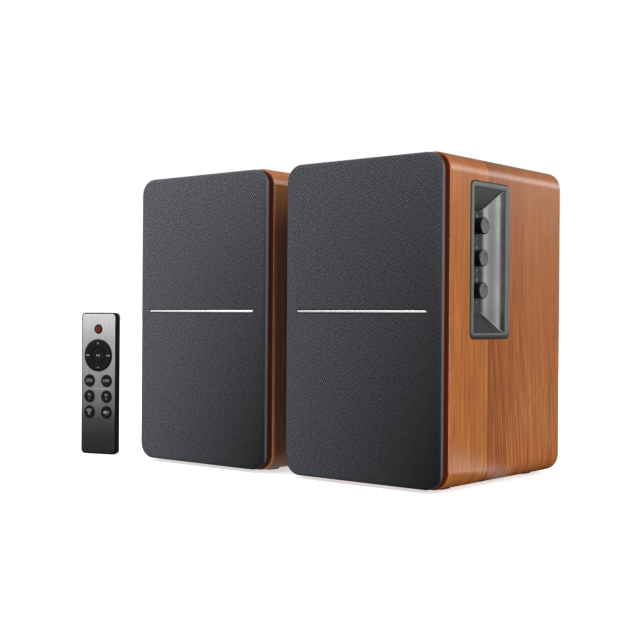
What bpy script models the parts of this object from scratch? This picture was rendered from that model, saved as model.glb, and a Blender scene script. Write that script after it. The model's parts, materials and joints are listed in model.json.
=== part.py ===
"""Pair of desktop bookshelf loudspeakers with a slim handset.

The right-hand cabinet is the active one: it carries the amplifier, the side
control pocket with three knobs and the mains parts. The left-hand cabinet is
passive. Each speaker has a pull-off cloth grille with a bright bar across it.
The handset stands beside the left speaker, turned a little inwards.

Lengths are millimetres in the tables below and metres in the scene.
Frame: X runs across the fronts (+X is the side with the knobs), the fronts
face -Y, Z is up. The origin is the middle of the footprint, on the table.
"""

import math

import bmesh
import bpy

MM = 0.001
GAP = 0.3  # running or resting clearance between neighbouring pieces

# ---- where the three units stand
RIGHT_X = 116.73  # middle of the right speaker
FRONT_Y = -76.06  # front plane of both cabinets
PAIR_PITCH = 160.5  # between the middles of the two speakers
HANDSET_X = -286.0  # middle of the handset's face, from the right speaker
HANDSET_Y = -7.8  # from the cabinet fronts
HANDSET_YAW = 17.0  # degrees, face turned towards +X

# ---- cabinets
CAB_W, CAB_H, CAB_D = 141.0, 232.5, 155.5
CAB_R, CAB_WALL, CAB_EDGE = 13.5, 9.0, 0.8
FOOT_T = 1.2
CAB_Z0 = FOOT_T + GAP
CAB_ZC = CAB_Z0 + CAB_H / 2
CAB_TOP = CAB_Z0 + CAB_H
BOARD_W, BOARD_H = CAB_W - 2 * CAB_WALL - 2 * GAP, CAB_H - 2 * CAB_WALL - 2 * GAP
BOARD_R = CAB_R - CAB_WALL - GAP
BAFFLE_Y, BAFFLE_T = 3.0, 9.0
REAR_Y, REAR_T = 145.5, 9.0

# ---- drivers, port
WOOFER_Z, TWEETER_Z = 86.0, 176.0
PORT_Z = {"right": 196.0, "left": 158.0}

# ---- grilles
GRILLE_W, GRILLE_H, GRILLE_R = 138.0, 230.6, 13.0
GRILLE_ZC = 117.6
CLOTH_FRONT, CLOTH_BACK, CLOTH_T = -9.6, -3.5, 0.8
FRAME_BACK = -3.2
BAR_Z, BAR_L, BAR_H = 124.0, 116.0, 2.0
PEG_X, PEG_DZ = 55.5, 101.5

# ---- control pocket in the right side wall
SIDE_X = CAB_W / 2
POD_Y, POD_Z = 52.05, 160.7
POD_W, POD_H, POD_R = 52.9, 111.0, 4.5
TUB_W, TUB_H = 46.4, 105.0
MOUTH_Y0, MOUTH_Y1, MOUTH_Z0, MOUTH_Z1 = 30.2, 73.0, 109.4, 212.0
POD_DEPTH, POD_BODY = 13.0, 16.0
SWEEP_Y, SWEEP_RISE, END_RUN = 57.5, 12.1, 16.2
KNOB_Y, KNOB_R = 46.9, 6.05
KNOB_Z = {"bass_knob": 185.5, "treble_knob": 162.6, "volume_knob": 139.6}
KNOB_FACE = {"bass_knob": -1.1, "treble_knob": -2.0, "volume_knob": -2.0}

# ---- rear fittings
PANEL_W, PANEL_H, PANEL_Z = 104.0, 140.0, 98.0
PANEL_Y0, PANEL_Y1 = REAR_Y + REAR_T + GAP, REAR_Y + REAR_T + GAP + 1.6
RCA_X, RCA_Z = -24.0, 138.0
TERM = {"right": (22.0, 138.0), "left": (0.0, 84.0)}
INLET_X, INLET_Z = -22.0, 56.0
ROCKER_X, ROCKER_Z, ROCKER_TILT = 24.0, 56.0, 8.0

# ---- handset
HS_W, HS_H, HS_T, HS_R = 35.0, 122.4, 8.4, 3.8
HS_BUTTONS = {
    "remote_power_button": (0.0, 108.3, 3.85),
    "remote_centre_button": (0.0, 85.5, 6.7),
    "remote_on_button": (-8.6, 63.5, 5.2),
    "remote_off_button": (8.6, 63.5, 5.2),
    "remote_input_one_button": (-8.6, 49.9, 5.2),
    "remote_input_two_button": (8.6, 49.9, 5.2),
    "remote_wireless_button": (-8.6, 36.4, 5.2),
    "remote_mute_button": (8.6, 36.4, 5.2),
}
RING_Z, RING_R, RING_IN = 85.5, 13.8, 7.1


# ------------------------------------------------------------------ geometry


def along_x(u, v, t):
    return (t, u, v)


def along_y(u, v, t):
    return (u, t, v)


def along_z(u, v, t):
    return (u, v, t)


def corners(x0, z0, x1, z1, radii, n=6):
    """Outline of a rectangle with its own radius at each corner, from top right, anticlockwise."""
    pts = []
    for (cx, sx), (cz, sz), r, a0 in (
        ((x1, -1), (z1, -1), radii[0], 0),
        ((x0, 1), (z1, -1), radii[1], 90),
        ((x0, 1), (z0, 1), radii[2], 180),
        ((x1, -1), (z0, 1), radii[3], 270),
    ):
        for i in range(n + 1):
            a = math.radians(a0 + 90.0 * i / n)
            pts.append((cx + sx * r + r * math.cos(a), cz + sz * r + r * math.sin(a)))
    return pts


def rrect(w, h, r, cx=0.0, cz=0.0, n=6):
    return corners(cx - w / 2, cz - h / 2, cx + w / 2, cz + h / 2, (r, r, r, r), n)


def stadium(w, h, cx=0.0, cz=0.0, n=8):
    """Slot outline with round ends."""
    r, pts = h / 2, []
    for s, a0 in ((1, -90), (-1, 90)):
        for i in range(n + 1):
            a = math.radians(a0 + 180.0 * i / n)
            pts.append((cx + s * (w / 2 - r) + r * math.cos(a), cz + r * math.sin(a)))
    return pts


def circle(r, cx=0.0, cz=0.0, n=24):
    return [
        (cx + r * math.cos(2 * math.pi * (i + 0.5) / n), cz + r * math.sin(2 * math.pi * (i + 0.5) / n))
        for i in range(n)
    ]


def loft(rings, closed=False):
    """Skin through rings of equally many points, capped, or closed on itself."""
    n, m = len(rings[0]), len(rings)
    verts = [p for ring in rings for p in ring]
    faces = []
    for i in range(m if closed else m - 1):
        j = (i + 1) % m
        for k in range(n):
            q = (k + 1) % n
            faces.append((i * n + k, i * n + q, j * n + q, j * n + k))
    if not closed:
        faces.append(tuple(range(n)))
        faces.append(tuple((m - 1) * n + k for k in range(n)))
    return verts, faces


def prism(outline, t0, t1, place=along_y):
    return loft([[place(u, v, t) for u, v in outline] for t in (t0, t1)])


def lathe(profile, segs, place=along_y):
    """Solid turned from a closed profile of (radius, station) points."""
    verts, faces, rows = [], [], []
    for r, t in profile:
        if r < 1e-6:
            rows.append([len(verts)])
            verts.append(place(0.0, 0.0, t))
            continue
        rows.append(list(range(len(verts), len(verts) + segs)))
        for k in range(segs):
            a = 2 * math.pi * (k + 0.5) / segs
            verts.append(place(r * math.cos(a), r * math.sin(a), t))
    for i, a in enumerate(rows):
        b = rows[(i + 1) % len(rows)]
        if len(a) == 1 and len(b) == 1:
            continue
        for k in range(segs):
            q = (k + 1) % segs
            if len(a) == 1:
                faces.append((a[0], b[q], b[k]))
            elif len(b) == 1:
                faces.append((a[k], a[q], b[0]))
            else:
                faces.append((a[k], a[q], b[q], b[k]))
    return verts, faces


def block(x0, x1, y0, y1, z0, z1):
    return prism([(x0, z0), (x1, z0), (x1, z1), (x0, z1)], y0, y1)


def shifted(geo, dx=0.0, dy=0.0, dz=0.0):
    return [(x + dx, y + dy, z + dz) for x, y, z in geo[0]], geo[1]


def together(*geos):
    """Several bodies in one mesh, for tools that cut or join in one go."""
    verts, faces = [], []
    for v, f in geos:
        base = len(verts)
        verts += v
        faces += [tuple(i + base for i in face) for face in f]
    return verts, faces


def material(name, colour, rough, metal=0.0):
    mat = bpy.data.materials.new(name)
    mat.use_nodes = True
    bsdf = mat.node_tree.nodes["Principled BSDF"]
    bsdf.inputs["Base Color"].default_value = (*colour, 1.0)
    bsdf.inputs["Roughness"].default_value = rough
    bsdf.inputs["Metallic"].default_value = metal
    mat.diffuse_color = (*colour, 1.0)
    return mat


def make(name, geo, finish, parent, loc=(0, 0, 0), tilt_x=0.0):
    verts, faces = geo
    mesh = bpy.data.meshes.new(name)
    mesh.from_pydata([(x * MM, y * MM, z * MM) for x, y, z in verts], [], faces)
    bm = bmesh.new()
    bm.from_mesh(mesh)
    bmesh.ops.recalc_face_normals(bm, faces=bm.faces)
    bm.to_mesh(mesh)
    bm.free()
    mesh.shade_smooth()
    mesh.set_sharp_from_angle(angle=math.radians(32))
    obj = bpy.data.objects.new(name, mesh)
    bpy.context.scene.collection.objects.link(obj)
    obj.parent = parent
    obj.location = [c * MM for c in loc]
    obj.rotation_euler[0] = math.radians(tilt_x)
    if finish is not None:
        mesh.materials.append(material(name + "_finish", *finish))
    return obj


def tool(obj, operation, geo):
    """Cuts the shape from the piece, or joins it on. The tool shares the piece's place."""
    helper = make(obj.name + "_" + operation.lower(), geo, None, obj.parent)
    helper.location = obj.location
    helper.rotation_euler = obj.rotation_euler
    helper.hide_render = True
    helper.display_type = "WIRE"
    step = obj.modifiers.new(operation.lower(), "BOOLEAN")
    step.object = helper
    step.operation = operation
    step.solver = "EXACT"
    return obj


def cut(obj, *geos):
    return tool(obj, "DIFFERENCE", together(*geos))


def join(obj, *geos):
    return tool(obj, "UNION", together(*geos))


def empty(name, loc, parent=None, yaw=0.0):
    obj = bpy.data.objects.new(name, None)
    bpy.context.scene.collection.objects.link(obj)
    obj.parent = parent
    obj.location = [c * MM for c in loc]
    obj.rotation_euler[2] = math.radians(yaw)
    obj.empty_display_size = 0.02
    return obj


# ------------------------------------------------------------------ finishes

WOOD = ((0.40, 0.14, 0.05), 0.42)
BLACK_BOARD = ((0.015, 0.015, 0.016), 0.6)
CLOTH = ((0.075, 0.08, 0.088), 0.95)
BLACK = ((0.012, 0.012, 0.013), 0.5)
GLOSS_BLACK = ((0.008, 0.008, 0.009), 0.2)
POD_GREY = ((0.13, 0.135, 0.14), 0.42)
SILVER = ((0.62, 0.62, 0.63), 0.3, 1.0)
BRIGHT = ((0.85, 0.85, 0.86), 0.16, 1.0)
STEEL = ((0.35, 0.35, 0.36), 0.4, 1.0)
FERRITE = ((0.05, 0.05, 0.055), 0.7)
RUBBER = ((0.02, 0.02, 0.02), 0.8)
PAPER = ((0.03, 0.03, 0.032), 0.75)
BOARD_GREEN = ((0.02, 0.12, 0.05), 0.5)
COPPER = ((0.55, 0.25, 0.12), 0.4, 1.0)
RED = ((0.45, 0.02, 0.02), 0.4)
GOLD = ((0.75, 0.55, 0.2), 0.3, 1.0)
DARK_RED = ((0.08, 0.004, 0.004), 0.15)


# ------------------------------------------------------------------ speakers


def cabinet(side, base):
    """Wrapped board shell: a round-cornered tube, open front and back."""
    def ring(inset, y):
        return [
            along_y(u, v, y)
            for u, v in rrect(CAB_W - 2 * inset, CAB_H - 2 * inset, CAB_R - inset, 0, CAB_ZC)
        ]

    shell = make(
        side + "_cabinet",
        loft(
            [
                ring(CAB_EDGE, 0),
                ring(0, CAB_EDGE),
                ring(0, CAB_D - CAB_EDGE),
                ring(CAB_EDGE, CAB_D),
                ring(CAB_WALL, CAB_D),
                ring(CAB_WALL, 0),
            ],
            closed=True,
        ),
        WOOD,
        base,
    )
    for name, y0 in (("front", 14.0), ("rear", 127.5)):
        make(
            f"{side}_{name}_foot",
            prism(rrect(110, 14, 3, 0, y0 + 7, n=3), 0, FOOT_T, along_z),
            RUBBER,
            base,
        )
    return shell


def baffle(side, base):
    board = make(
        side + "_baffle",
        prism(rrect(BOARD_W, BOARD_H, BOARD_R, 0, CAB_ZC, n=3), BAFFLE_Y, BAFFLE_Y + BAFFLE_T),
        BLACK_BOARD,
        base,
    )
    holes = [
        prism(circle(47.3, 0, WOOFER_Z, 24), BAFFLE_Y - 1, BAFFLE_Y + BAFFLE_T + 1),
        prism(circle(24.0, 0, TWEETER_Z, 18), BAFFLE_Y - 1, BAFFLE_Y + BAFFLE_T + 1),
    ]
    for sx in (-1, 1):
        for sz in (-1, 1):
            holes.append(
                prism(circle(2.8, sx * PEG_X, GRILLE_ZC + sz * PEG_DZ, 8), BAFFLE_Y - 1, BAFFLE_Y + 7.6)
            )
    if side == "right":
        holes.append(prism(circle(3.0, 46, 148, 12), BAFFLE_Y - 1, BAFFLE_Y + BAFFLE_T + 1))
    return cut(board, *holes)


def woofer(side, base):
    """Four-inch driver: pressed basket, ring magnet, roll surround, cone with its coil former."""
    at = (0, BAFFLE_Y, WOOFER_Z)
    make(
        side + "_woofer_basket",
        lathe(
            [
                (48.0, -3.0), (56.0, -3.0), (57.0, -2.0), (57.0, -0.3), (46.9, -0.3), (46.5, 9.0),
                (31.0, 33.5), (31.0, 36.5), (15.4, 36.5), (15.4, 34.0), (28.5, 34.0), (44.2, 8.6),
                (44.5, -1.2), (48.0, -1.2),
            ],
            24,
        ),
        BLACK,
        base,
        at,
    )
    make(
        side + "_woofer_magnet",
        lathe(
            [
                (0.0, 38.0), (12.4, 38.0), (12.4, 52.5), (15.2, 52.5), (15.2, 36.8), (34.0, 36.8),
                (34.0, 58.0), (0.0, 58.0),
            ],
            16,
        ),
        FERRITE,
        base,
        at,
    )
    # half roll between the cone's rim and the basket's ledge
    roll = []
    for i in range(5):
        a = math.pi * i / 4
        roll.append((42.0 + 3.2 * math.cos(a), -2.1 - 2.4 * math.sin(a)))
    under = []
    for i in range(3):
        a = math.pi * (1 - i / 2)
        under.append((42.0 + 2.4 * math.cos(a), -1.5 - 2.0 * math.sin(a)))
    make(
        side + "_woofer_surround",
        lathe([(47.6, -1.5), (47.6, -2.1)] + roll + [(38.3, -2.1), (38.3, -1.5)] + under, 24),
        RUBBER,
        base,
        at,
    )
    make(
        side + "_woofer_cone",
        lathe(
            [
                (0.0, 8.5), (7.0, 9.4), (12.0, 11.8), (16.0, 15.6), (36.6, -1.2), (37.9, -1.8),
                (37.9, -0.9), (36.8, -0.1), (14.4, 18.4), (13.9, 45.0), (13.3, 45.0), (13.3, 15.8),
                (7.0, 11.2), (0.0, 10.2),
            ],
            24,
        ),
        PAPER,
        base,
        at,
    )


def tweeter(side, base):
    at = (0, BAFFLE_Y, TWEETER_Z)
    make(
        side + "_tweeter_body",
        lathe(
            [
                (0.0, 5.4), (11.6, 5.4), (11.6, 0.6), (14.0, -0.4), (23.0, -1.9), (30.8, -2.5),
                (32.0, -1.6), (32.0, -0.3), (23.4, -0.3), (23.4, 26.0), (0.0, 26.0),
            ],
            18,
        ),
        BLACK,
        base,
        at,
    )
    make(
        side + "_tweeter_dome",
        lathe(
            [(0.0, -3.2), (4.2, -2.6), (7.8, -0.9), (9.8, 1.2), (11.1, 2.0), (11.1, 3.4), (0.0, 3.4)],
            18,
        ),
        PAPER,
        base,
        at,
    )


def grille(side, base):
    """Cloth drawn over a moulded frame with four push-in pegs, and the bright bar let into both."""
    hold = empty(side + "_grille_slide", (0, 0, 0), base)
    frame = make(
        side + "_grille_frame",
        prism(rrect(GRILLE_W - 2.4, GRILLE_H - 2.4, GRILLE_R - 1.2, 0, GRILLE_ZC, n=4), CLOTH_FRONT + CLOTH_T + GAP, FRAME_BACK),
        BLACK,
        hold,
    )
    z_low, z_top = GRILLE_ZC - GRILLE_H / 2, GRILLE_ZC + GRILLE_H / 2
    cut(
        frame,
        prism(corners(-58.8, z_low + 10, 58.8, BAR_Z - 7, (6, 6, 26, 26), 3), -12, 0),
        prism(corners(-58.8, BAR_Z + 7, 58.8, z_top - 10, (26, 26, 6, 6), 3), -12, 0),
        block(-BAR_L / 2 - GAP, BAR_L / 2 + GAP, -12, -6.2, BAR_Z - BAR_H / 2 - GAP, BAR_Z + BAR_H / 2 + GAP),
    )
    pegs = []
    for sx in (-1, 1):
        for sz in (-1, 1):
            pegs.append(
                shifted(
                    lathe(
                        [(0, -4.6), (4.4, -4.6), (4.4, BAFFLE_Y - GAP), (2.4, BAFFLE_Y - GAP),
                         (2.4, BAFFLE_Y + 6.0), (1.6, BAFFLE_Y + 7.0), (0, BAFFLE_Y + 7.0)],
                        8,
                    ),
                    sx * PEG_X, 0, GRILLE_ZC + sz * PEG_DZ,
                )
            )
    join(frame, *pegs)

    def ring(inset, y):
        return [
            along_y(u, v, y)
            for u, v in rrect(GRILLE_W - 2 * inset, GRILLE_H - 2 * inset, GRILLE_R - inset, 0, GRILLE_ZC, n=4)
        ]

    cloth = make(
        side + "_grille_cloth",
        loft(
            [
                ring(0.9, CLOTH_FRONT + CLOTH_T),
                ring(0.9, CLOTH_BACK),
                ring(0, CLOTH_BACK),
                ring(0, CLOTH_FRONT + 2.2),
                ring(0.6, CLOTH_FRONT + 0.6),
                ring(2.2, CLOTH_FRONT),
            ]
        ),
        CLOTH,
        hold,
    )
    cut(cloth, prism(stadium(BAR_L + 1.4, BAR_H + 1.4, 0, BAR_Z, 5), CLOTH_FRONT - 1, CLOTH_FRONT + 1.4))
    make(
        side + "_trim_bar",
        prism(stadium(BAR_L, BAR_H, 0, BAR_Z, 5), CLOTH_FRONT, -6.5),
        BRIGHT,
        hold,
    )


def port(side, base):
    make(
        side + "_port_tube",
        lathe(
            [
                (15.6, 98.0), (17.6, 98.0), (17.6, REAR_Y + REAR_T + GAP), (23.0, REAR_Y + REAR_T + GAP),
                (23.0, REAR_Y + REAR_T + 1.4), (20.8, REAR_Y + REAR_T + 2.0), (15.6, REAR_Y + REAR_T - 6.0),
            ],
            12,
        ),
        BLACK,
        base,
        (0, 0, PORT_Z[side]),
    )


def terminals(side, base):
    """Two-pole spring clip: a block with two pockets, each with a press-down lever on a cross pivot."""
    tx, tz = TERM[side]
    body = make(
        side + "_terminal_block",
        prism(rrect(36.0, 30.0, 1.5, tx, tz, n=2), 143.0, 157.0),
        BLACK,
        base,
    )
    cuts = []
    for sx in (-1, 1):
        px = tx + sx * 8.4
        cuts.append(block(px - 7.0, px + 7.0, 145.0, 158.0, tz - 8.6, tz + 11.0))
        cuts.append(prism(circle(1.9, px, tz - 11.8, 10), 147.0, 158.0))
    cut(body, *cuts)
    for sx, colour, finish in ((-1, "red", RED), (1, "black", GLOSS_BLACK)):
        px = tx + sx * 8.4
        # side view of the lever about its pivot: (y, z)
        side_view = [
            (-1.5, 2.4), (3.5, 2.6), (10.5, -3.6), (10.5, -6.0), (3.2, -8.2), (0.6, -13.2), (-1.5, -13.2),
        ]
        make(
            f"{side}_terminal_lever_{colour}",
            prism(side_view, -6.5, 6.5, along_x),
            finish,
            base,
            (px, 153.0, tz + 7.0),
        )


def rear_board(side, base):
    board = make(
        side + "_rear_board",
        prism(rrect(BOARD_W, BOARD_H, BOARD_R, 0, CAB_ZC, n=3), REAR_Y, REAR_Y + REAR_T),
        BLACK_BOARD,
        base,
    )
    holes = [prism(circle(18.0, 0, PORT_Z[side], 18), REAR_Y - 1, REAR_Y + REAR_T + 1)]
    if side == "right":
        holes.append(
            prism(rrect(PANEL_W - 12, PANEL_H - 12, 3, 0, PANEL_Z, n=2), REAR_Y - 1, REAR_Y + REAR_T + 1)
        )
    else:
        tx, tz = TERM[side]
        holes.append(prism(rrect(36.6, 30.6, 1.8, tx, tz, n=2), REAR_Y - 1, REAR_Y + REAR_T + 1))
    return cut(board, *holes)


def speaker(side, base):
    shell = cabinet(side, base)
    baffle(side, base)
    rear_board(side, base)
    woofer(side, base)
    tweeter(side, base)
    port(side, base)
    terminals(side, base)
    grille(side, base)
    return shell


# ------------------------------------------------- control pocket, right side


def control_pocket(base, shell):
    """Tub let into the side wall. Its floor is flat in front and rises in an S to the rear lip; its
    end walls slope in, so the tub is the common part of a swept trough and a trapezoid."""
    cut(
        shell,
        prism(rrect(TUB_W + 2 * GAP, TUB_H + 2 * GAP, 3.4, POD_Y, POD_Z, n=3), SIDE_X - CAB_WALL - 2, SIDE_X + 2, along_x),
    )
    rebate = make(
        "right_cabinet_rebate",
        prism(rrect(POD_W + 2 * GAP, POD_H + 2 * GAP, POD_R + GAP, POD_Y, POD_Z, n=4), SIDE_X - 1.0, SIDE_X + 2, along_x),
        None,
        base,
    )
    rebate.hide_render = True
    rebate.display_type = "WIRE"
    step = shell.modifiers.new("rebate", "BOOLEAN")
    step.object, step.operation, step.solver = rebate, "DIFFERENCE", "EXACT"

    def lip(inset, x):
        return [
            along_x(u, v, x)
            for u, v in rrect(POD_W - 2 * inset, POD_H - 2 * inset, POD_R - inset, POD_Y, POD_Z, n=4)
        ]

    pod = make(
        "control_pod",
        loft([lip(0, SIDE_X - 0.7), lip(0, SIDE_X + 0.3), lip(0.5, SIDE_X + 0.7)]),
        POD_GREY,
        base,
    )
    join(
        pod,
        prism(rrect(TUB_W, TUB_H, 3.1, POD_Y, POD_Z, n=3), SIDE_X - POD_BODY, SIDE_X - 0.3, along_x),
    )
    # plan view of the trough: flat floor, then an S-shaped sweep up to the rear lip
    plan = [(SIDE_X + 2, MOUTH_Y0), (SIDE_X - POD_DEPTH, MOUTH_Y0 + 0.8)]
    for i in range(9):
        t = i / 8
        plan.append(
            (
                SIDE_X - POD_DEPTH + SWEEP_RISE * t * t * (3 - 2 * t),
                SWEEP_Y + (MOUTH_Y1 - SWEEP_Y) * t,
            )
        )
    plan += [(SIDE_X + 2, MOUTH_Y1)]
    trough = make("control_pod_trough", prism(plan, MOUTH_Z0 - 5, MOUTH_Z1 + 5, along_z), None, base)
    # end view: straight lip, then sloping ends
    ends = [
        (MOUTH_Z0, SIDE_X + 3), (MOUTH_Z0, SIDE_X - 0.8), (MOUTH_Z0 + END_RUN, SIDE_X - POD_DEPTH - 1),
        (MOUTH_Z1 - END_RUN, SIDE_X - POD_DEPTH - 1), (MOUTH_Z1, SIDE_X - 0.8), (MOUTH_Z1, SIDE_X + 3),
    ]
    verts = [(x, y, z) for y in (MOUTH_Y0 - 4, MOUTH_Y1 + 4) for z, x in ends]
    n = len(ends)
    faces = [(k, (k + 1) % n, n + (k + 1) % n, n + k) for k in range(n)]
    faces += [tuple(range(n)), tuple(range(n, 2 * n))]
    wedge = make("control_pod_wedge", (verts, faces), None, base)
    for helper in (trough, wedge):
        helper.hide_render = True
        helper.display_type = "WIRE"
    common = trough.modifiers.new("common", "BOOLEAN")
    common.object, common.operation, common.solver = wedge, "INTERSECT", "EXACT"
    hollow = pod.modifiers.new("hollow", "BOOLEAN")
    hollow.object, hollow.operation, hollow.solver = trough, "DIFFERENCE", "EXACT"
    shafts = make(
        "control_pod_shafts",
        together(
            *(
                prism(circle(3.6, KNOB_Y, z, 12), SIDE_X - POD_BODY - 2, SIDE_X - POD_DEPTH + 2, along_x)
                for z in KNOB_Z.values()
            )
        ),
        None,
        base,
    )
    shafts.hide_render = True
    shafts.display_type = "WIRE"
    step = pod.modifiers.new("shafts", "BOOLEAN")
    step.object, step.operation, step.solver = shafts, "DIFFERENCE", "EXACT"

    for name, z in KNOB_Z.items():
        face = KNOB_FACE[name]
        foot = -POD_DEPTH + 0.6
        make(
            name,
            lathe(
                [
                    (0, face), (KNOB_R - 0.5, face), (KNOB_R, face - 0.5), (KNOB_R, foot), (3.0, foot),
                    (3.0, -POD_BODY - 4.4), (0, -POD_BODY - 4.4),
                ],
                18,
                along_x,
            ),
            GLOSS_BLACK,
            base,
            (SIDE_X, KNOB_Y, z),
        )
    back = SIDE_X - POD_BODY
    board = make("control_board", block(back - 9.0, back - 7.4, 34, 72, 122, 200), BOARD_GREEN, base)
    join(
        board,
        *(block(back - 7.6, back - 0.4, KNOB_Y - 6, KNOB_Y + 6, z - 6, z + 6) for z in KNOB_Z.values()),
    )
    cut(
        board,
        *(prism(circle(3.5, KNOB_Y, z, 12), back - 5.0, back + 1, along_x) for z in KNOB_Z.values()),
    )


# ------------------------------------------------------ amplifier and mains


def amplifier(base):
    panel = make(
        "amp_panel",
        prism(rrect(PANEL_W, PANEL_H, 4, 0, PANEL_Z, n=3), PANEL_Y0, PANEL_Y1),
        STEEL,
        base,
    )
    tx, tz = TERM["right"]
    y0, y1 = PANEL_Y0 - 1, PANEL_Y1 + 1
    cut(
        panel,
        prism(rrect(32.6, 32.6, 1.8, RCA_X, RCA_Z, n=2), y0, y1),
        prism(rrect(36.6, 30.6, 1.8, tx, tz, n=2), y0, y1),
        prism(rrect(27.6, 17.6, 2.3, INLET_X, INLET_Z, n=2), y0, y1),
        block(ROCKER_X - 6.6, ROCKER_X + 6.6, y0, y1, ROCKER_Z - 10.4, ROCKER_Z + 10.4),
    )
    sockets = make("rca_sockets", prism(rrect(32, 32, 1.5, RCA_X, RCA_Z, n=2), 152.6, 156.9), BLACK, base)
    places = [(RCA_X + sx * 7.6, RCA_Z + sz * 7.6) for sx in (-1, 1) for sz in (-1, 1)]
    join(sockets, *(prism(circle(4.2, x, z, 10), 156.0, 164.6) for x, z in places))
    cut(sockets, *(prism(circle(1.8, x, z, 8), 157.0, 166.0) for x, z in places))

    inlet = make("mains_inlet", prism(rrect(27, 17, 2, INLET_X, INLET_Z, n=2), 142.0, 157.4), BLACK, base)
    cut(inlet, prism(stadium(18.0, 10.0, INLET_X, INLET_Z, 6), 146.0, 159.0))
    join(inlet, *(prism(circle(1.2, INLET_X + s * 4.3, INLET_Z, 10), 144.0, 155.0) for s in (-1, 1)))

    # see-saw rocker about a cross pivot, stored with its lower end pressed in: (y, z) about the pivot
    side_view = [
        (4.9, -9.2), (3.9, 0.0), (4.9, 9.2), (0.6, 9.2), (-5.0, 6.0), (-5.0, -6.0), (0.6, -9.2),
    ]
    make(
        "mains_rocker",
        prism(side_view, -6.1, 6.1, along_x),
        GLOSS_BLACK,
        base,
        (ROCKER_X, 153.2, ROCKER_Z),
        -ROCKER_TILT,
    )
    board = make("amp_board", block(-44, 44, 126.0, 127.6, 38, 158), BOARD_GREEN, base)
    join(
        board,
        block(-40, -8, 110.0, 126.4, 60, 110),  # finned heat sink
        prism(circle(9, 20, 62, 14), 100.0, 126.4),  # reservoir capacitors
        prism(circle(9, 20, 86, 14), 100.0, 126.4),
    )
    make("mains_transformer", block(-27, 27, 66, 96, CAB_Z0 + CAB_WALL + GAP, 50), COPPER, base)
    make("ir_receiver", shifted(lathe([(0, -0.6), (1.6, -0.5), (2.7, 0.2), (2.7, 9.0), (0, 9.0)], 14), 46, BAFFLE_Y, 148), DARK_RED, base)


# ------------------------------------------------------------------ handset


def handset(base):
    """Thin bar handset: dark case, metal face sheet, round keys on a board. Face at y = 0, back at y = HS_T."""
    def ring(inset, y):
        return [
            along_y(u, v, y) for u, v in rrect(HS_W - 2 * inset, HS_H - 2 * inset, HS_R - inset, 0, HS_H / 2, n=4)
        ]

    case = make(
        "remote_case",
        loft([ring(0.5, 0.6), ring(0, 1.1), ring(0, HS_T - 1.8), ring(0.6, HS_T - 0.6), ring(2.0, HS_T)]),
        BLACK,
        base,
    )
    cut(case, prism(rrect(HS_W - 1.5, HS_H - 1.5, HS_R - 0.75, 0, HS_H / 2, n=4), 0.0, 1.5))
    cut(case, prism(rrect(30.0, 114.0, 2.0, 0, HS_H / 2, n=2), 0.5, 6.0))
    face = make("remote_face", loft([ring(1.5, 0.0), ring(1.05, 0.45), ring(1.05, 1.2)]), SILVER, base)
    holes = [prism(circle(RING_R + 0.35, 0, RING_Z, 20), -1, 2)]
    for name, (x, z, r) in HS_BUTTONS.items():
        if name != "remote_centre_button":
            holes.append(prism(circle(r + 0.3, x, z, 14), -1, 2))
    cut(face, *holes)
    make("remote_board", block(-13.0, 13.0, 4.6, 5.6, 6, 115), BOARD_GREEN, base)
    for name, (x, z, r) in HS_BUTTONS.items():
        lip = 0.0 if name == "remote_centre_button" else 0.7
        make(
            name,
            lathe(
                [(0, -0.7), (r - 0.9, -0.6), (r, -0.1), (r, 1.7), (r + lip, 1.7), (r + lip, 3.6), (0, 3.6)]
                if lip
                else [(0, -0.7), (r - 0.9, -0.6), (r, -0.1), (r, 3.6), (0, 3.6)],
                14,
            ),
            BLACK if name != "remote_power_button" else DARK_RED,
            base,
            (x, 0, z),
        )
    make(
        "remote_ring_button",
        lathe(
            [(RING_IN, -0.5), (RING_IN + 0.5, -0.7), (RING_R - 0.7, -0.7), (RING_R, -0.1), (RING_R, 2.5), (RING_IN, 2.5)],
            20,
        ),
        BLACK,
        base,
        (0, 0, RING_Z),
    )


# ------------------------------------------------------------------ assembly


def main():
    for obj in list(bpy.data.objects):
        bpy.data.objects.remove(obj, do_unlink=True)
    right = empty("right_speaker", (RIGHT_X, FRONT_Y, 0))
    left = empty("left_speaker", (RIGHT_X - PAIR_PITCH, FRONT_Y, 0))
    hand = empty("handset", (RIGHT_X + HANDSET_X, FRONT_Y + HANDSET_Y, 0), yaw=HANDSET_YAW)
    shell = speaker("right", right)
    control_pocket(right, shell)
    amplifier(right)
    speaker("left", left)
    handset(hand)


main()
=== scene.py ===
"""Looks of the loudspeaker pair and its handset: veneered cabinets, drawn cloth grilles, drivers, control
pocket, rear fittings and keys, each as a fine mesh over the fixed frame. Lengths in the tables are millimetres,
in each unit's own axes: x across the front from the unit's middle, y back from the cabinet fronts, z up."""

import json
import math

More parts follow.
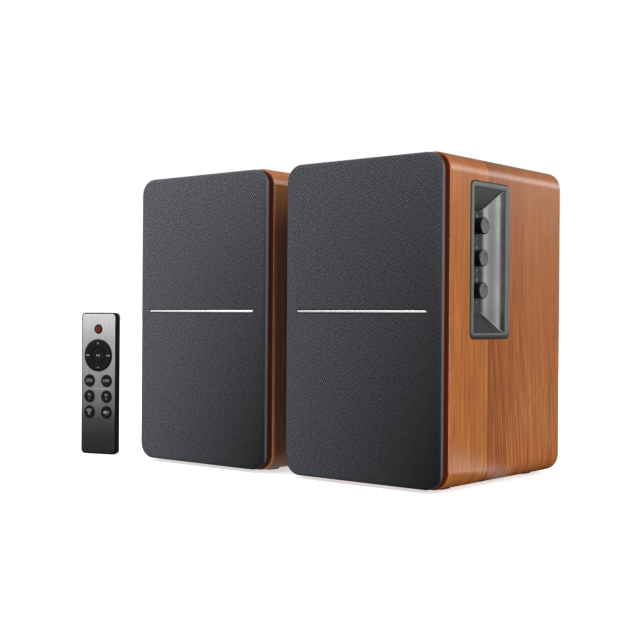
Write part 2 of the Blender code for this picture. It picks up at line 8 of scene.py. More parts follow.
import bmesh
import bpy
from mathutils import Matrix, Vector
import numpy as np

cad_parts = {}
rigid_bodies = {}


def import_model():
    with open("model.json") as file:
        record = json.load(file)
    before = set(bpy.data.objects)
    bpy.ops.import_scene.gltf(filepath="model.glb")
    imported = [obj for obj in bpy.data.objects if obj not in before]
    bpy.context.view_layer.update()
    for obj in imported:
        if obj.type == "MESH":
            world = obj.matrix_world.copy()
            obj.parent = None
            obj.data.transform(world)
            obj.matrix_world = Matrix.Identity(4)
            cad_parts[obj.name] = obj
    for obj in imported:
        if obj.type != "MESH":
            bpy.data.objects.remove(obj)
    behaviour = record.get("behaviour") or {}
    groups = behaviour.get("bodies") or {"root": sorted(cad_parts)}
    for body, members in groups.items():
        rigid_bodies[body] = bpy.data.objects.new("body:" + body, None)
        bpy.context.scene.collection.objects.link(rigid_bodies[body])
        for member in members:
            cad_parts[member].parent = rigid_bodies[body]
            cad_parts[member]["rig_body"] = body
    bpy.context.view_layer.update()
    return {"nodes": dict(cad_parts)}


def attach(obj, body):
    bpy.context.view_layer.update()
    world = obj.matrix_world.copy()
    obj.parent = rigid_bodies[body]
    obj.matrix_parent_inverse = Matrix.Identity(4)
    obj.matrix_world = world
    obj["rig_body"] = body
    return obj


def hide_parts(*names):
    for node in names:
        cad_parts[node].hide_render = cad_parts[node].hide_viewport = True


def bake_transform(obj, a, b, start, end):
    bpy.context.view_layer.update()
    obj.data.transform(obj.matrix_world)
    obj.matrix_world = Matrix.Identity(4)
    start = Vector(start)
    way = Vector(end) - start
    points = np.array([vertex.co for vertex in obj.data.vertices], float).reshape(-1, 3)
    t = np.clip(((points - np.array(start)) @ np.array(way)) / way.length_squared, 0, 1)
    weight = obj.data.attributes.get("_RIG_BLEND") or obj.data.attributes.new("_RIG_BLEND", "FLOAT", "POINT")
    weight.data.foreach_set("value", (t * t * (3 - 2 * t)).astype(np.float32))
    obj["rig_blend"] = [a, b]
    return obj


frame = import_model()

MM = 0.001
GAP = 0.3
RIGHT_X, FRONT_Y, PITCH = 116.73, -76.06, 160.5
HAND_X, HAND_Y, HAND_YAW = -286.0, -7.8, math.radians(17.0)
CAB_W, CAB_H, CAB_D, CAB_R, WALL = 141.0, 232.5, 155.5, 13.5, 9.0
CAB_Z0 = 1.5
CAB_ZC = CAB_Z0 + CAB_H / 2
BOARD_W, BOARD_H, BOARD_R = 122.4, 213.9, 4.2
BAFFLE_Y, REAR_Y, BOARD_T = 3.0, 145.5, 9.0
BACK = REAR_Y + BOARD_T
WOOFER_Z, TWEETER_Z = 86.0, 176.0
PORT_Z = {"right": 196.0, "left": 158.0}
TERM = {"right": (22.0, 138.0), "left": (0.0, 84.0)}
GRILLE_W, GRILLE_H, GRILLE_R, GRILLE_ZC = 138.0, 230.6, 13.0, 117.6
BAR_Z, BAR_L, BAR_H = 124.0, 116.0, 2.0
SIDE_X = CAB_W / 2

BASE = {
    "right": Matrix.Translation((RIGHT_X * MM, FRONT_Y * MM, 0)),
    "left": Matrix.Translation(((RIGHT_X - PITCH) * MM, FRONT_Y * MM, 0)),
    "hand": Matrix.Translation(((RIGHT_X + HAND_X) * MM, (FRONT_Y + HAND_Y) * MM, 0)),
}
TURN = Matrix.Rotation(HAND_YAW, 3, "Z")


# ------------------------------------------------------------------ geometry


def along_x(u, v, t):
    return (t, u, v)


def along_y(u, v, t):
    return (u, t, v)


def along_z(u, v, t):
    return (u, v, t)


def corners(x0, z0, x1, z1, radii, n=10, lead=0.0):
    """Outline of a rectangle with its own radius at each corner, from top right, anticlockwise. A lead puts a
    point that far before and after each arc, so that smooth shading ends there."""
    pts = []
    for cx, sx, cz, sz, r, a0 in (
        (x1, -1, z1, -1, radii[0], 0),
        (x0, 1, z1, -1, radii[1], 90),
        (x0, 1, z0, 1, radii[2], 180),
        (x1, -1, z0, 1, radii[3], 270),
    ):
        arc = []
        for i in range(n + 1):
            a = math.radians(a0 + 90.0 * i / n)
            arc.append((cx + sx * r + r * math.cos(a), cz + sz * r + r * math.sin(a)))
        if lead:
            a, b = math.radians(a0), math.radians(a0 + 90)
            arc.insert(0, (arc[0][0] + lead * math.sin(a), arc[0][1] - lead * math.cos(a)))
            arc.append((arc[-1][0] - lead * math.sin(b), arc[-1][1] + lead * math.cos(b)))
        pts += arc
    return pts


def rrect(w, h, r, cx=0.0, cz=0.0, n=10, lead=0.0):
    return corners(cx - w / 2, cz - h / 2, cx + w / 2, cz + h / 2, (r, r, r, r), n, lead)


def stadium(w, h, cx=0.0, cz=0.0, n=14):
    r, pts = h / 2, []
    for s, a0 in ((1, -90), (-1, 90)):
        for i in range(n + 1):
            a = math.radians(a0 + 180.0 * i / n)
            pts.append((cx + s * (w / 2 - r) + r * math.cos(a), cz + r * math.sin(a)))
    return pts


def circle(r, cx=0.0, cz=0.0, n=64):
    return [
        (cx + r * math.cos(2 * math.pi * (i + 0.5) / n), cz + r * math.sin(2 * math.pi * (i + 0.5) / n))
        for i in range(n)
    ]


def rounded(pts, radii, n=5, closed=False):
    """A polyline with an arc at each inner corner. radii is one number or one for each point."""
    out, m = [], len(pts)
    for i, p in enumerate(pts):
        r = radii[i] if isinstance(radii, (list, tuple)) else radii
        if r <= 0 or (not closed and i in (0, m - 1)):
            out.append(tuple(p))
            continue
        b = Vector(p)
        a, c = Vector(pts[i - 1]), Vector(pts[(i + 1) % m])
        if (a - b).length < 1e-6 or (c - b).length < 1e-6:
            out += [tuple(p)] * (n + 1)
            continue
        u, v = (a - b).normalized(), (c - b).normalized()
        angle = u.angle(v)
        if angle > math.pi - 0.02:
            out += [tuple(p)] * (n + 1)
            continue
        d = min(r / math.tan(angle / 2), 0.48 * (a - b).length, 0.48 * (c - b).length)
        rr = d * math.tan(angle / 2)
        mid = b + (u + v).normalized() * (rr / math.sin(angle / 2))
        p0, p1 = b + u * d - mid, b + v * d - mid
        a0, a1 = math.atan2(p0.y, p0.x), math.atan2(p1.y, p1.x)
        turn = (a1 - a0 + math.pi) % (2 * math.pi) - math.pi
        for k in range(n + 1):
            q = a0 + turn * k / n
            out.append((mid.x + rr * math.cos(q), mid.y + rr * math.sin(q)))
    return out


def loft(rings, closed=False, cap0=True, cap1=True):
    n, m = len(rings[0]), len(rings)
    verts = [p for ring in rings for p in ring]
    faces = []
    for i in range(m if closed else m - 1):
        j = (i + 1) % m
        for k in range(n):
            q = (k + 1) % n
            faces.append((i * n + k, i * n + q, j * n + q, j * n + k))
    if not closed:
        if cap0:
            faces.append(tuple(range(n))[::-1])
        if cap1:
            faces.append(tuple((m - 1) * n + k for k in range(n)))
    return verts, faces


def prism(outline, t0, t1, place=along_y):
    return loft([[place(u, v, t) for u, v in outline] for t in (t0, t1)])


def slab(outline, t0, t1, e0, e1, place=along_y, n=4):
    """Plate between stations t0 and t1 with rounded edges. outline(inset) gives its outline."""
    s = 1 if t1 > t0 else -1
    stations = []
    if e0:
        stations.append((e0 + 0.4, t0))
        for i in range(n + 1):
            a = math.pi / 2 * i / n
            stations.append((e0 * (1 - math.sin(a)), t0 + s * e0 * (1 - math.cos(a))))
    else:
        stations.append((0, t0))
    if e1:
        for i in range(n + 1):
            a = math.pi / 2 * (1 - i / n)
            stations.append((e1 * (1 - math.sin(a)), t1 - s * e1 * (1 - math.cos(a))))
        stations.append((e1 + 0.4, t1))
    else:
        stations.append((0, t1))
    return loft([[place(u, v, t) for u, v in outline(i)] for i, t in stations])


def lathe(profile, segs=96, place=along_y, centre=(0.0, 0.0), closed=True):
    """Body turned from a profile of (radius, station) points about a line through centre."""
    verts, faces, rows = [], [], []
    for r, t in profile:
        if r < 1e-6:
            rows.append([len(verts)])
            verts.append(place(centre[0], centre[1], t))
            continue
        rows.append(list(range(len(verts), len(verts) + segs)))
        for k in range(segs):
            a = 2 * math.pi * (k + 0.5) / segs
            verts.append(place(centre[0] + r * math.cos(a), centre[1] + r * math.sin(a), t))
    for i in range(len(rows) if closed else len(rows) - 1):
        a, b = rows[i], rows[(i + 1) % len(rows)]
        if len(a) == 1 and len(b) == 1:
            continue
        for k in range(segs):
            q = (k + 1) % segs
            if len(a) == 1:
                faces.append((a[0], b[q], b[k]))
            elif len(b) == 1:
                faces.append((a[k], a[q], b[0]))
            else:
                faces.append((a[k], a[q], b[q], b[k]))
    return verts, faces


def block(x0, x1, y0, y1, z0, z1):
    return prism([(x0, z0), (x1, z0), (x1, z1), (x0, z1)], y0, y1)


def moved(geo, shift=(0, 0, 0), turn=None):
    out = []
    for p in geo[0]:
        v = Vector(p)
        if turn is not None:
            v = turn @ v
        out.append((v.x + shift[0], v.y + shift[1], v.z + shift[2]))
    return out, geo[1]


def solid(geo):
    """bmesh of the shape with its faces pointing out."""
    bm = bmesh.new()
    made = [bm.verts.new(p) for p in geo[0]]
    for f in geo[1]:
        bm.faces.new([made[i] for i in f])
    bmesh.ops.recalc_face_normals(bm, faces=bm.faces)
    return bm


def plain(bm):
    bm.verts.index_update()
    geo = [tuple(v.co) for v in bm.verts], [tuple(v.index for v in f.verts) for f in bm.faces]
    bm.free()
    return geo


def bevelled(geo, width, segs=3, angle=30.0):
    """The shape with its sharp edges rounded over."""
    bm = solid(geo)
    bmesh.ops.remove_doubles(bm, verts=bm.verts, dist=1e-4)
    edges = [e for e in bm.edges if len(e.link_faces) == 2 and e.calc_face_angle(0) > math.radians(angle)]
    bmesh.ops.bevel(bm, geom=edges, offset=width, segments=segs, profile=0.5, affect="EDGES", clamp_overlap=True)
    return plain(bm)


def carved(geo, *cutters, operation="DIFFERENCE"):
    """The shape after cutting each cutter from it, or joining each on."""
    temp = []

    def as_object(g):
        me = bpy.data.meshes.new("temp")
        bm = solid(g)
        bm.to_mesh(me)
        bm.free()
        ob = bpy.data.objects.new("temp", me)
        bpy.context.scene.collection.objects.link(ob)
        temp.append(ob)
        return ob

    body = as_object(geo)
    for g in cutters:
        tool = as_object(g)
        step = body.modifiers.new("step", "BOOLEAN")
        step.object, step.operation, step.solver = tool, operation, "EXACT"
    bpy.context.view_layer.update()
    out = body.evaluated_get(bpy.context.evaluated_depsgraph_get())
    me = out.to_mesh()
    got = [tuple(v.co) for v in me.vertices], [tuple(p.vertices) for p in me.polygons]
    out.to_mesh_clear()
    for ob in temp:
        data = ob.data
        bpy.data.objects.remove(ob, do_unlink=True)
        bpy.data.meshes.remove(data)
    return got


def lettering(text, size, depth=0.06):
    """Flat letters as a mesh in the x-z plane, facing -y, centred, standing out by depth."""
    curve = bpy.data.curves.new("letters", "FONT")
    curve.body, curve.size = text, size
    curve.align_x, curve.align_y = "CENTER", "CENTER"
    curve.resolution_u = 3
    curve.extrude = depth / 2
    ob = bpy.data.objects.new("letters", curve)
    bpy.context.scene.collection.objects.link(ob)
    bpy.context.view_layer.update()
    out = ob.evaluated_get(bpy.context.evaluated_depsgraph_get())
    me = out.to_mesh()
    got = [(v.co.x, -v.co.z - depth / 2, v.co.y) for v in me.vertices], [tuple(p.vertices) for p in me.polygons]
    out.to_mesh_clear()
    bpy.data.objects.remove(ob, do_unlink=True)
    bpy.data.curves.remove(curve)
    return got


class Shape:
    """Bodies gathered into one mesh, each with its own finish and, if given, flat coordinates."""

    def __init__(self):
        self.verts, self.faces, self.finish, self.flat = [], [], [], []

    def add(self, geo, finish=0, flat=None):
        base = len(self.verts)
        self.verts += list(geo[0])
        self.faces += [tuple(i + base for i in f) for f in geo[1]]
        self.finish += [finish] * len(geo[1]) if isinstance(finish, int) else list(finish)
        self.flat += flat if flat is not None else [None] * len(geo[1])
        return self


def piece(name, shape, finishes, body, base, replaces=(), sharp=33.0, flat_name=None, outward=True):
    if not isinstance(shape, Shape):
        shape = Shape().add(shape)
    me = bpy.data.meshes.new(name)
    bm = bmesh.new()
    turn = TURN if base == "hand" else Matrix.Identity(3)
    made = [bm.verts.new(turn @ Vector(p) * MM) for p in shape.verts]
    layer = bm.loops.layers.uv.new(flat_name) if flat_name else None
    for f, finish, flat in zip(shape.faces, shape.finish, shape.flat):
        try:
            face = bm.faces.new([made[i] for i in f])
        except ValueError:
            continue
        face.material_index = finish
        if layer is not None and flat is not None:
            for loop, uv in zip(face.loops, flat):
                loop[layer].uv = uv
    if outward:
        bmesh.ops.recalc_face_normals(bm, faces=bm.faces)
    bm.to_mesh(me)
    bm.free()
    me.shade_smooth()
    me.set_sharp_from_angle(angle=math.radians(sharp))
    ob = bpy.data.objects.new(name, me)
    bpy.context.scene.collection.objects.link(ob)
    ob.matrix_world = BASE[base]
    for m in finishes:
        me.materials.append(m)
    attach(ob, body)
    if replaces:
        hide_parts(*replaces)
    return ob


# ------------------------------------------------------------------ finishes


def start(name):
    mat = bpy.data.materials.new(name)
    mat.use_nodes = True
    return mat, mat.node_tree, mat.node_tree.nodes["Principled BSDF"]


def add(nt, kind, ins=None, **props):
    node = nt.nodes.new(kind)
    for k, v in props.items():
        setattr(node, k, v)
    for k, v in (ins or {}).items():
        if isinstance(v, bpy.types.NodeSocket):
            nt.links.new(v, node.inputs[k])
        else:
            node.inputs[k].default_value = v
    return node


def calc(nt, op, a, b=0.0, c=0.0):
    return add(nt, "ShaderNodeMath", {0: a, 1: b, 2: c}, operation=op).outputs[0]


def noise(nt, vec, scale, detail=2.0, rough=0.5, distort=0.0):
    return add(
        nt, "ShaderNodeTexNoise",
        {"Vector": vec, "Scale": scale, "Detail": detail, "Roughness": rough, "Distortion": distort},
    ).outputs[0]


def stretch(nt, vec, scale=(1, 1, 1), shift=(0, 0, 0), turn=(0, 0, 0)):
    return add(nt, "ShaderNodeMapping", {"Vector": vec, "Location": shift, "Rotation": turn, "Scale": scale}).outputs[0]


def ramp(nt, fac, stops, mode="LINEAR"):
    node = add(nt, "ShaderNodeValToRGB", {0: fac})
    node.color_ramp.interpolation = mode
    els = node.color_ramp.elements
    while len(els) < len(stops):
        els.new(0.5)
    for el, (pos, col) in zip(els, stops):
        el.position = pos
        el.color = (*col, 1.0) if isinstance(col, tuple) else (col, col, col, 1.0)
    return node.outputs[0]


def blend_colour(nt, fac, a, b, mode="MIX"):
    def full(c):
        return (*c, 1.0) if isinstance(c, tuple) and len(c) == 3 else c

    return add(nt, "ShaderNodeMix", {0: fac, 6: full(a), 7: full(b)}, data_type="RGBA", blend_type=mode).outputs[2]


def spread(nt, fac, low, high, lo=0.0, hi=1.0):
    return add(nt, "ShaderNodeMapRange", {0: fac, 1: lo, 2: hi, 3: low, 4: high}).outputs[0]


def place_of(nt):
    return add(nt, "ShaderNodeTexCoord").outputs["Object"]


def set_bump(nt, bsdf, height, strength, distance):
    node = add(nt, "ShaderNodeBump", {"Strength": strength, "Distance": distance, "Height": height})
    nt.links.new(node.outputs[0], bsdf.inputs["Normal"])


def moulded(name, colour, rough, grain=900.0, bump=0.12, metal=0.0, vary=0.12, spec=0.5, coat=0.0):
    """Moulded or painted surface: fine skin texture, faint tone and gloss variation."""
    mat, nt, b = start(name)
    at = place_of(nt)
    broad = noise(nt, at, 38.0, 3.0, 0.55)
    fine = noise(nt, at, grain, 2.0, 0.6)
    dark = tuple(c * (1 - vary) for c in colour)
    light = tuple(min(1.0, c * (1 + vary)) for c in colour)
    tone = blend_colour(nt, broad, dark, light)
    nt.links.new(tone, b.inputs["Base Color"])
    nt.links.new(spread(nt, calc(nt, "ADD", calc(nt, "MULTIPLY", broad, 0.6), calc(nt, "MULTIPLY", fine, 0.4)), rough - 0.07, rough + 0.07, 0.3, 0.7), b.inputs["Roughness"])
    b.inputs["Metallic"].default_value = metal
    b.inputs["Specular IOR Level"].default_value = spec
    b.inputs["Coat Weight"].default_value = coat
    b.inputs["Coat Roughness"].default_value = 0.12
    if bump:
        set_bump(nt, b, fine, bump, 0.0002)
    return mat


def wood_finish(name, seam, seed, order, shaded=False):
    """Satin wood-look wrap. The grain follows the wrap round the cabinet: u runs along it, v across it, in metres.
    Boards of different tone meet at the seams. The grain is straight in the front board; behind it, it drifts and
    leans near the foot. Painted shade darkens the folded front edge. A shaded wrap has painted shade on the wall that
    faces its neighbour, where its front board takes a deep tone, and painted light: paler over the upper round, with a
    painted highlight along the lower arris. Over the upper +x side wall the rear board pales with a painted reflection."""
    mat, nt, b = start(name)
    uv = add(nt, "ShaderNodeUVMap", uv_map="grain").outputs[0]
    split = add(nt, "ShaderNodeSeparateXYZ", {0: uv})
    along, across = split.outputs[0], split.outputs[1]
    rear = calc(nt, "GREATER_THAN", across, seam[0])
    wander = noise(nt, stretch(nt, uv, (9.0, 30.0, 1.0), (seed, 0, 0)), 1.0, 2.0, 0.5)
    amount = calc(nt, "MULTIPLY_ADD", rear, 0.0020, 0.0014)
    lean = calc(nt, "MULTIPLY", rear, spread(nt, along, -0.011, 0.0, 0.07, 0.19))
    across_w = calc(nt, "ADD", calc(nt, "ADD", across, lean), calc(nt, "MULTIPLY", calc(nt, "SUBTRACT", wander, 0.5), amount))
    g = add(nt, "ShaderNodeCombineXYZ", {0: along, 1: across_w, 2: calc(nt, "MULTIPLY_ADD", rear, 3.0, seed)}).outputs[0]
    broad = noise(nt, stretch(nt, g, (2.4, 70.0, 1.0)), 1.0, 2.0, 0.5)
    mid = noise(nt, stretch(nt, g, (5.0, 420.0, 1.0)), 1.0, 3.0, 0.6)
    fine = noise(nt, stretch(nt, g, (20.0, 900.0, 1.0)), 1.0, 3.0, 0.7)
    fleck = noise(nt, stretch(nt, g, (75.0, 760.0, 1.0)), 1.0, 1.0, 0.5)
    warm, deep, mellow = (0.415, 0.134, 0.032), (0.268, 0.071, 0.019), (0.388, 0.129, 0.041)
    total = 0.20
    at = calc(nt, "DIVIDE", calc(nt, "ADD", across, 0.02), total)
    # the fourth tone is painted shade: the left wrap gives it to its front board, on the wall that faces the right
    # cabinet
    tones = [(warm, deep, mellow, (0.228, 0.068, 0.026))[k] for k in order]
    stops = [(0.0, tones[0])]
    for k, y in enumerate(seam):
        stops.append(((y + 0.02) / total, tones[k + 1]))
    boards = ramp(nt, at, stops, "CONSTANT")
    # painted light: on a shaded wrap the front board turns warm from the upper round onwards
    painted_top_light = spread(nt, along, 0.0, 1.0, 0.250, 0.290)
    if shaded:
        boards = blend_colour(nt, calc(nt, "MULTIPLY", painted_top_light, calc(nt, "SUBTRACT", 1.0, rear)), boards, warm)
    strength = spread(nt, along, 1.0, 0.58, 0.13, 0.22)

    def streak(pattern, *levels):
        return calc(nt, "MULTIPLY", spread(nt, pattern, *levels), strength)

    fade_and_painted_shade = spread(nt, across, 0.0, 1.0, seam[0] + 0.006, seam[1])
    tone = blend_colour(nt, calc(nt, "MULTIPLY", calc(nt, "MULTIPLY", fade_and_painted_shade, rear), 0.85), boards, mellow)
    lip = calc(nt, "MULTIPLY", spread(nt, across, 0.0, 0.34, seam[0] - 0.0050, seam[0] - 0.0010), calc(nt, "SUBTRACT", 1.0, rear))
    tone = blend_colour(nt, lip, tone, (0.540, 0.205, 0.055))
    tone = blend_colour(nt, streak(broad, 0.0, 0.30, 0.50, 0.76), tone, (0.262, 0.070, 0.018))
    tone = blend_colour(nt, streak(broad, 0.30, 0.0, 0.24, 0.48), tone, (0.500, 0.178, 0.046))
    tone = blend_colour(nt, streak(mid, 0.0, 0.36, 0.50, 0.76), tone, (0.225, 0.056, 0.014))
    tone = blend_colour(nt, streak(mid, 0.36, 0.0, 0.24, 0.48), tone, (0.560, 0.214, 0.058))
    tone = blend_colour(nt, streak(fine, 0.0, 0.85, 0.50, 0.74), tone, (0.190, 0.046, 0.012))
    tone = blend_colour(nt, streak(fine, 0.85, 0.0, 0.26, 0.48), tone, (0.600, 0.238, 0.068))
    sparse = calc(nt, "MULTIPLY", spread(nt, fleck, 0.0, 0.55, 0.66, 0.74), calc(nt, "MULTIPLY_ADD", rear, 0.65, 0.35))
    tone = blend_colour(nt, sparse, tone, (0.120, 0.028, 0.009))
    # painted reflection: the rear board pales towards white over the upper part of the +x side wall
    tone = blend_colour(nt, calc(nt, "MULTIPLY", rear, spread(nt, along, 0.0, 0.06, 0.16, 0.27)), tone, (0.620, 0.360, 0.220))
    # painted shade on the folded front edge, which sits behind the grille's rim; a shaded wrap gets a redder, paler one
    painted_edge_shade = (0.165, 0.027, 0.007)
    if shaded:
        # painted light over the upper round, fading onto the top
        painted_top_light = calc(nt, "MULTIPLY", painted_top_light, spread(nt, along, 0.62, 0.0, 0.305, 0.330))
        tone = blend_colour(nt, painted_top_light, tone, (0.640, 0.250, 0.090))
        # painted highlight along the lower part of the front arris
        painted_arris_glint = calc(nt, "MULTIPLY", spread(nt, across, 1.0, 0.0, 0.0016, 0.0030), spread(nt, along, 0.80, 0.0, 0.095, 0.205))
        tone = blend_colour(nt, painted_arris_glint, tone, (0.640, 0.270, 0.115))
        painted_edge_shade = (0.118, 0.036, 0.014)
    tone = blend_colour(nt, spread(nt, across, 1.0, 0.0, 0.0, 0.0006), tone, painted_edge_shade)
    nt.links.new(tone, b.inputs["Base Color"])
    nt.links.new(spread(nt, mid, 0.15, 0.21, 0.3, 0.7), b.inputs["Roughness"])
    b.inputs["Specular IOR Level"].default_value = 0.5
    height = calc(nt, "ADD", calc(nt, "MULTIPLY", fine, 0.6), calc(nt, "MULTIPLY", fleck, -0.5))
    set_bump(nt, b, height, 0.10, 0.00015)
    return mat


def cloth_finish(name, painted_gain, painted_shade_depth, weave):
    """Charcoal twill: fine diagonal ribs crossed by a finer one, heathered, with painted shade that darkens it from the
    upper left towards the lower right and over the far part of the right skirt, and a painted highlight on the near
    part of that skirt, stronger higher up. painted_gain scales the whole tone as painted brightness. u and v are metres
    on the flat cloth."""
    mat, nt, b = start(name)
    uv = add(nt, "ShaderNodeUVMap", uv_map="weave").outputs[0]
    split = add(nt, "ShaderNodeSeparateXYZ", {0: uv})
    u, v = split.outputs[0], split.outputs[1]
    wob = noise(nt, uv, 260.0, 2.0, 0.5)
    jig = calc(nt, "MULTIPLY", wob, 2.6)

    def rib(period, angle):
        k = 2 * math.pi / period
        c = calc(nt, "MULTIPLY", u, k * math.cos(math.radians(angle)))
        return calc(nt, "SINE", calc(nt, "ADD", calc(nt, "MULTIPLY_ADD", v, k * math.sin(math.radians(angle)), c), jig))

    main, cross = rib(0.00172, 34.0), rib(0.00150, 127.0)
    slub = noise(nt, stretch(nt, uv, (330.0, 900.0, 1.0), (0, 0, 0), (0, 0, math.radians(-56))), 1.0, 2.0, 0.6)
    grain = noise(nt, uv, 640.0, 2.0, 0.6)
    mixv = calc(nt, "MULTIPLY_ADD", main, 0.155, 0.5)
    mixv = calc(nt, "ADD", mixv, calc(nt, "MULTIPLY", cross, 0.12))
    mixv = calc(nt, "ADD", mixv, calc(nt, "MULTIPLY", calc(nt, "SUBTRACT", grain, 0.5), 0.42))
    mixv = calc(nt, "ADD", mixv, calc(nt, "MULTIPLY", calc(nt, "SUBTRACT", slub, 0.5), 0.36))
    mixv = calc(nt, "MULTIPLY_ADD", calc(nt, "SUBTRACT", mixv, 0.5), weave, 0.5)
    shades = ((0.20, (0.008, 0.0085, 0.010)), (0.50, (0.070, 0.073, 0.081)), (0.80, (0.255, 0.262, 0.282)))
    tone = ramp(nt, mixv, [(k, tuple(c * painted_gain for c in shade)) for k, shade in shades])
    # painted shade: darker towards the right and towards the bottom, most at the lower right
    right = spread(nt, u, 0.0, 1.0, -0.069, 0.069)
    down = calc(nt, "POWER", spread(nt, v, 1.0, 0.0, 0.003, 0.232), 0.75)
    both = calc(nt, "MULTIPLY", right, down)
    fade_and_painted_shade = calc(nt, "MULTIPLY_ADD", right, 0.20, calc(nt, "MULTIPLY_ADD", down, 0.16, calc(nt, "MULTIPLY", both, painted_shade_depth)))
    # painted highlight on the near part of the right skirt, where the cloth turns round the edge; past it the painted
    # shade returns
    edge = calc(nt, "MULTIPLY", spread(nt, u, 0.0, 1.0, 0.0700, 0.0710), spread(nt, u, 1.0, 0.0, 0.0722, 0.0738))
    fade_and_painted_shade = calc(nt, "MULTIPLY", fade_and_painted_shade, calc(nt, "SUBTRACT", 1.0, edge))
    tone = blend_colour(nt, fade_and_painted_shade, tone, (0.006, 0.0063, 0.0075))
    tone = blend_colour(nt, calc(nt, "MULTIPLY", edge, spread(nt, v, 0.10, 0.42, 0.003, 0.160)), tone, (0.200, 0.206, 0.222))
    nt.links.new(tone, b.inputs["Base Color"])
    nt.links.new(spread(nt, mixv, 0.78, 0.95, 0.35, 0.65), b.inputs["Roughness"])
    b.inputs["Specular IOR Level"].default_value = 0.12
    b.inputs["Sheen Weight"].default_value = 0.08
    b.inputs["Sheen Roughness"].default_value = 0.45
    b.inputs["Sheen Tint"].default_value = (0.72, 0.76, 0.84, 1.0)
    set_bump(nt, b, mixv, 0.6, 0.00025)
    return mat


def metal_finish(name, colour, rough, along=(1.0, 1.0, 60.0), brushed=0.1):
    """Bright or brushed metal: fine drawn lines in the gloss."""
    mat, nt, b = start(name)
    at = place_of(nt)
    lines = noise(nt, stretch(nt, at, tuple(900.0 * a / max(along) for a in along)), 1.0, 3.0, 0.6)
    broad = noise(nt, at, 55.0, 2.0, 0.5)
    tone = blend_colour(nt, broad, tuple(c * 0.94 for c in colour), colour)
    nt.links.new(tone, b.inputs["Base Color"])
    nt.links.new(spread(nt, lines, rough - brushed / 2, rough + brushed / 2, 0.3, 0.7), b.inputs["Roughness"])
    b.inputs["Metallic"].default_value = 1.0
    return mat


def bar_finish(name, dull, mid, bright):
    """Bright foil-faced bar: fine lines along it, and a painted reflection that dulls it towards its left end."""
    mat, nt, b = start(name)
    at = place_of(nt)
    lines = noise(nt, stretch(nt, at, (12.0, 700.0, 900.0)), 1.0, 3.0, 0.6)
    x = add(nt, "ShaderNodeSeparateXYZ", {0: at}).outputs[0]
    tone = ramp(nt, spread(nt, x, 0.0, 1.0, -0.058, 0.058), [(0.0, dull), (0.45, mid), (1.0, bright)])
    nt.links.new(tone, b.inputs["Base Color"])
    nt.links.new(spread(nt, lines, 0.18, 0.28, 0.3, 0.7), b.inputs["Roughness"])
    b.inputs["Metallic"].default_value = 0.6
    return mat


def painted_reflection_face(name):
    """Handset face: fine satin silver, with a painted reflection that runs from silver at the top to near black at the
    foot.
    """
    mat, nt, b = start(name)
    at = place_of(nt)
    z = add(nt, "ShaderNodeSeparateXYZ", {0: at}).outputs[2]
    lines = noise(nt, stretch(nt, at, (900.0, 40.0, 40.0)), 1.0, 3.0, 0.6)
    step = calc(nt, "DIVIDE", z, 0.1224)
    tone = ramp(
        nt, step,
        [(0.0, (0.016, 0.016, 0.017)), (0.12, (0.024, 0.024, 0.025)), (0.25, (0.062, 0.062, 0.064)), (0.38, (0.195, 0.196, 0.198)),
         (0.58, (0.350, 0.351, 0.355)), (0.80, (0.475, 0.476, 0.480)), (1.0, (0.74, 0.74, 0.745))],
    )
    tone = blend_colour(nt, spread(nt, lines, 0.0, 0.16, 0.35, 0.7), tone, (0.01, 0.01, 0.01))
    nt.links.new(tone, b.inputs["Base Color"])
    nt.links.new(spread(nt, lines, 0.34, 0.48, 0.3, 0.7), b.inputs["Roughness"])
    b.inputs["Metallic"].default_value = 0.35
    return mat


